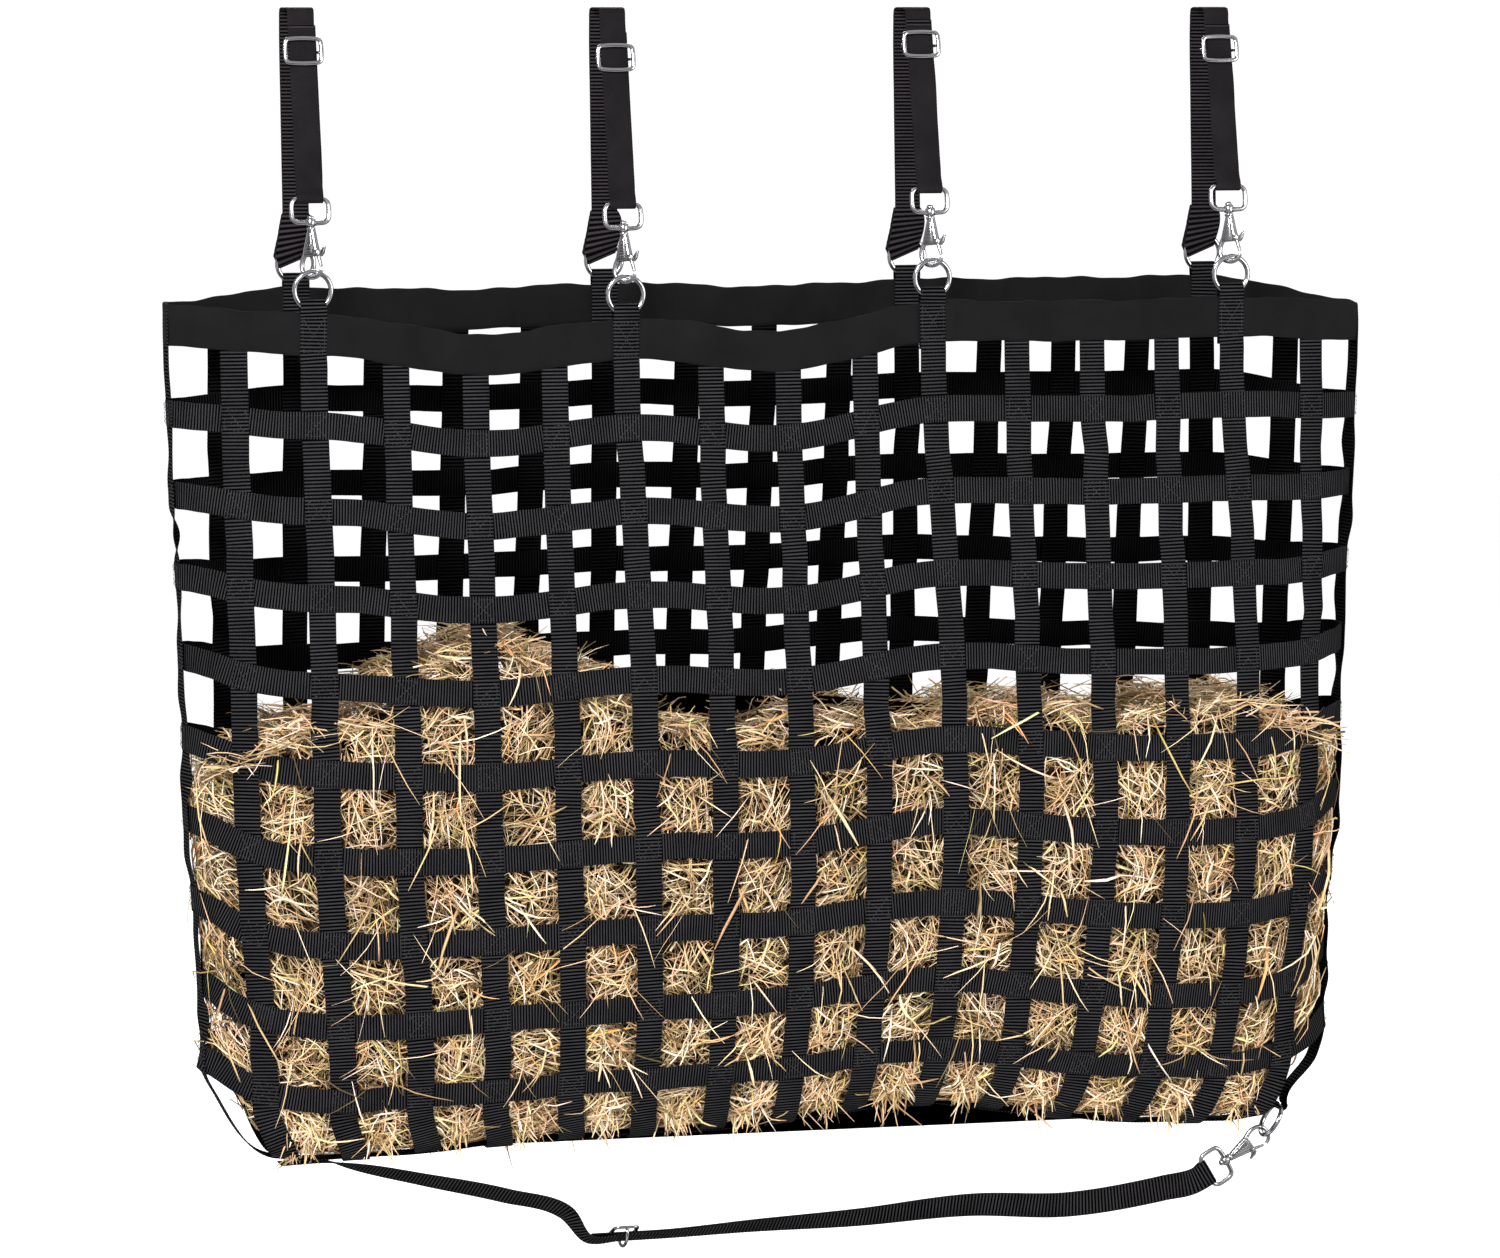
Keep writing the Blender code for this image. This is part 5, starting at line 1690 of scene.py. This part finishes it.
STITCH = 2.7 * MM
STITCH_GAP = 0.7 * MM
STITCH_RISE = 0.12 * MM


def seam(corners):
    """Ends of the stitches along a path in a patch's own plane."""
    ends = []
    for (x0, z0), (x1, z1) in zip(corners, corners[1:]):
        run = math.hypot(x1 - x0, z1 - z0) * MM
        count = max(1, int(run / (STITCH + STITCH_GAP)))
        for k in range(count):
            first = (k + 0.12) / count
            last = (k + 0.88) / count
            spots = [first, (first + last) / 2, last]
            ends.append([((x0 + (x1 - x0) * f) * MM, (z0 + (z1 - z0) * f) * MM) for f in spots])
    return np.array(ends)


def box_and_cross(half_x, half_z):
    square = [(-half_x, -half_z), (half_x, -half_z), (half_x, half_z), (-half_x, half_z), (-half_x, -half_z)]
    diagonals = [[(-half_x, -half_z), (half_x, half_z)], [(-half_x, half_z), (half_x, -half_z)]]
    return np.concatenate([seam(square), *(seam(d) for d in diagonals)])


def sew(name, places, pattern, rise, rng):
    """One object with the same seam at many places (centre, along, up, out)."""
    dip = np.array([-0.35, 0.10, -0.35]) * MM
    spines = []
    for centre, along, up, out in places:
        jitter = rng.normal(0, 0.18 * MM, pattern.shape)
        flat = pattern + jitter
        lift = (rise + dip)[None, :, None]
        spines.append(centre + flat[..., :1] * along + flat[..., 1:] * up + lift * out)
    spines = np.concatenate(spines)
    count = len(spines)
    tangent = unit(np.gradient(spines, axis=1))
    side = unit(np.cross(tangent, rng.normal(size=(count, 1, 3))))
    other = np.cross(tangent, side)
    girth = np.array([0.22, 0.34, 0.22])[None, :, None] * MM
    corners = [spines + (side * math.cos(a) + other * math.sin(a)) * girth for a in (0.3, 2.4, 4.5)]
    points = np.stack(corners, axis=2).reshape(-1, 3)
    obj = mesh_object(name, points, *three_sided(count, len(dip)), LOOKS["thread"])
    return finish_piece(obj, "net", "webbing")


def make_stitching():
    rng = np.random.default_rng(5)
    crossings = []
    for band in range(1, BANDS + 1):
        for around in range(ROUND):
            centre, along, up, out = axes_at(around, band_level(band))
            index = upright_index(around)
            centre = centre + vec(hanger_shift(index, band_level(band)))
            crossings.append((centre, along, up, out))
    sew("stitching_crossings", crossings, box_and_cross(9.6, 9.6), WEAVE + WEB_THICK / 2 + STITCH_RISE, rng)
    tabs = []
    for number, index in enumerate(HANGER_UPRIGHTS):
        for around, side in ((index, "front"), (ROUND - index, "rear")):
            pivot = joint_point(f"{side}_ring_{number + 1}_tilt")
            centre, _, up, out = axes_at(around, RIM_DEPTH / 2)
            centre = centre + vec(pivot[0] - centre[0])
            tabs.append((centre, vec(1), up, out))
    sew("stitching_ring_tabs", tabs, box_and_cross(10.4, 15.5), TAB_LEG + WEB_THICK / 2 + STITCH_RISE, rng)


make_stitching()


# ---------------------------------------------------------------- stage, lights and camera


# Brightness of the studio, from the side behind the net (0) round to the camera's side (1).
STUDIO_FRONT = (-0.36, -0.90, 0.25)
STUDIO_STOPS = [
    (0.0, 0.10),
    (0.13, 0.16),
    (0.24, 0.02),
    (0.34, 0.05),
    (0.42, 0.42),
    (0.56, 0.90),
    (0.66, 0.45),
    (0.74, 0.03),
    (0.82, 0.05),
    (0.90, 0.50),
    (1.0, 0.42),
]
SOFT_GREY = (0.5, 0.5, 0.5)
PAPER_WHITE = (1.05, 1.05, 1.05)


def studio_world():
    """White for the camera, soft for diffuse light, and bright and dark areas for the metal."""
    world = bpy.data.worlds.new("studio")
    bpy.context.scene.world = world
    s = NodeTree(world)
    ray = s.node("ShaderNodeLightPath").outputs
    direction = s.node("ShaderNodeTexCoord").outputs["Generated"]
    facing = s.node("ShaderNodeVectorMath", {0: direction, 1: STUDIO_FRONT}, operation="DOT_PRODUCT")
    patches = s.noise(1.7, 1.0, direction)
    spot = s.plus(facing.outputs["Value"], s.plus(s.times(patches, 0.9), -0.45))
    share = s.node("ShaderNodeMapRange", {"Value": spot, "From Min": -1.0, "From Max": 1.0})
    stops = [(position, (value, value, value * 1.01)) for position, value in STUDIO_STOPS]
    studio = s.ramp(share.outputs[0], stops)
    seen = s.mix(ray["Is Glossy Ray"], SOFT_GREY, studio)
    shown = s.mix(ray["Is Camera Ray"], seen, PAPER_WHITE)
    s.feed(world.node_tree.nodes["Background"].inputs["Color"], shown)


def area_light(name, location, target, size, power):
    data = bpy.data.lights.new(name, "AREA")
    data.shape = "DISK"
    data.size = size
    data.energy = power
    light = linked(name, data)
    light.location = location
    light.rotation_euler = (Vector(target) - Vector(location)).to_track_quat("-Z", "Y").to_euler()


def make_stage():
    corners = [(-9, -9, -0.3), (9, -9, -0.3), (9, 12, -0.3), (-9, 12, -0.3)]
    floor = mesh_object("floor", corners, [[0, 1, 2, 3]])
    s = Shader("floor_look")
    s.set(Base_Color=(0.9, 0.9, 0.9, 1), Roughness=0.95)
    s.set(Emission_Color=(1, 1, 1, 1), Emission_Strength=0.55)
    floor.data.materials.append(s.material)
    floor.visible_glossy = False
    studio_world()
    area_light("key", (-2.4, -3.9, 3.2), (0, 0, 0.5), 1.5, 330)
    area_light("fill", (3.2, -3.4, 1.4), (0, 0, 0.5), 2.6, 90)
    area_light("back", (0.6, 3.6, 2.6), (0, 0, 0.6), 2.5, 90)


CAMERA_TURN = math.radians(15.7)
CAMERA_TILT = math.radians(6.1)
CAMERA_LENS = 141.7
CAMERA_TARGET = Vector((-0.026, 0, 0.599))
CAMERA_DISTANCE = 5.675


def make_camera():
    turn, tilt = CAMERA_TURN, CAMERA_TILT
    look = Vector((math.sin(turn) * math.cos(tilt), math.cos(turn) * math.cos(tilt), -math.sin(tilt)))
    data = bpy.data.cameras.new("camera")
    data.lens = CAMERA_LENS
    data.sensor_width = 36
    data.clip_end = 100
    camera = linked("camera", data)
    camera.location = CAMERA_TARGET - look * CAMERA_DISTANCE
    camera.rotation_euler = look.to_track_quat("-Z", "Y").to_euler()
    bpy.context.scene.camera = camera


make_stage()
make_camera()
bpy.context.scene.view_settings.view_transform = "Standard"
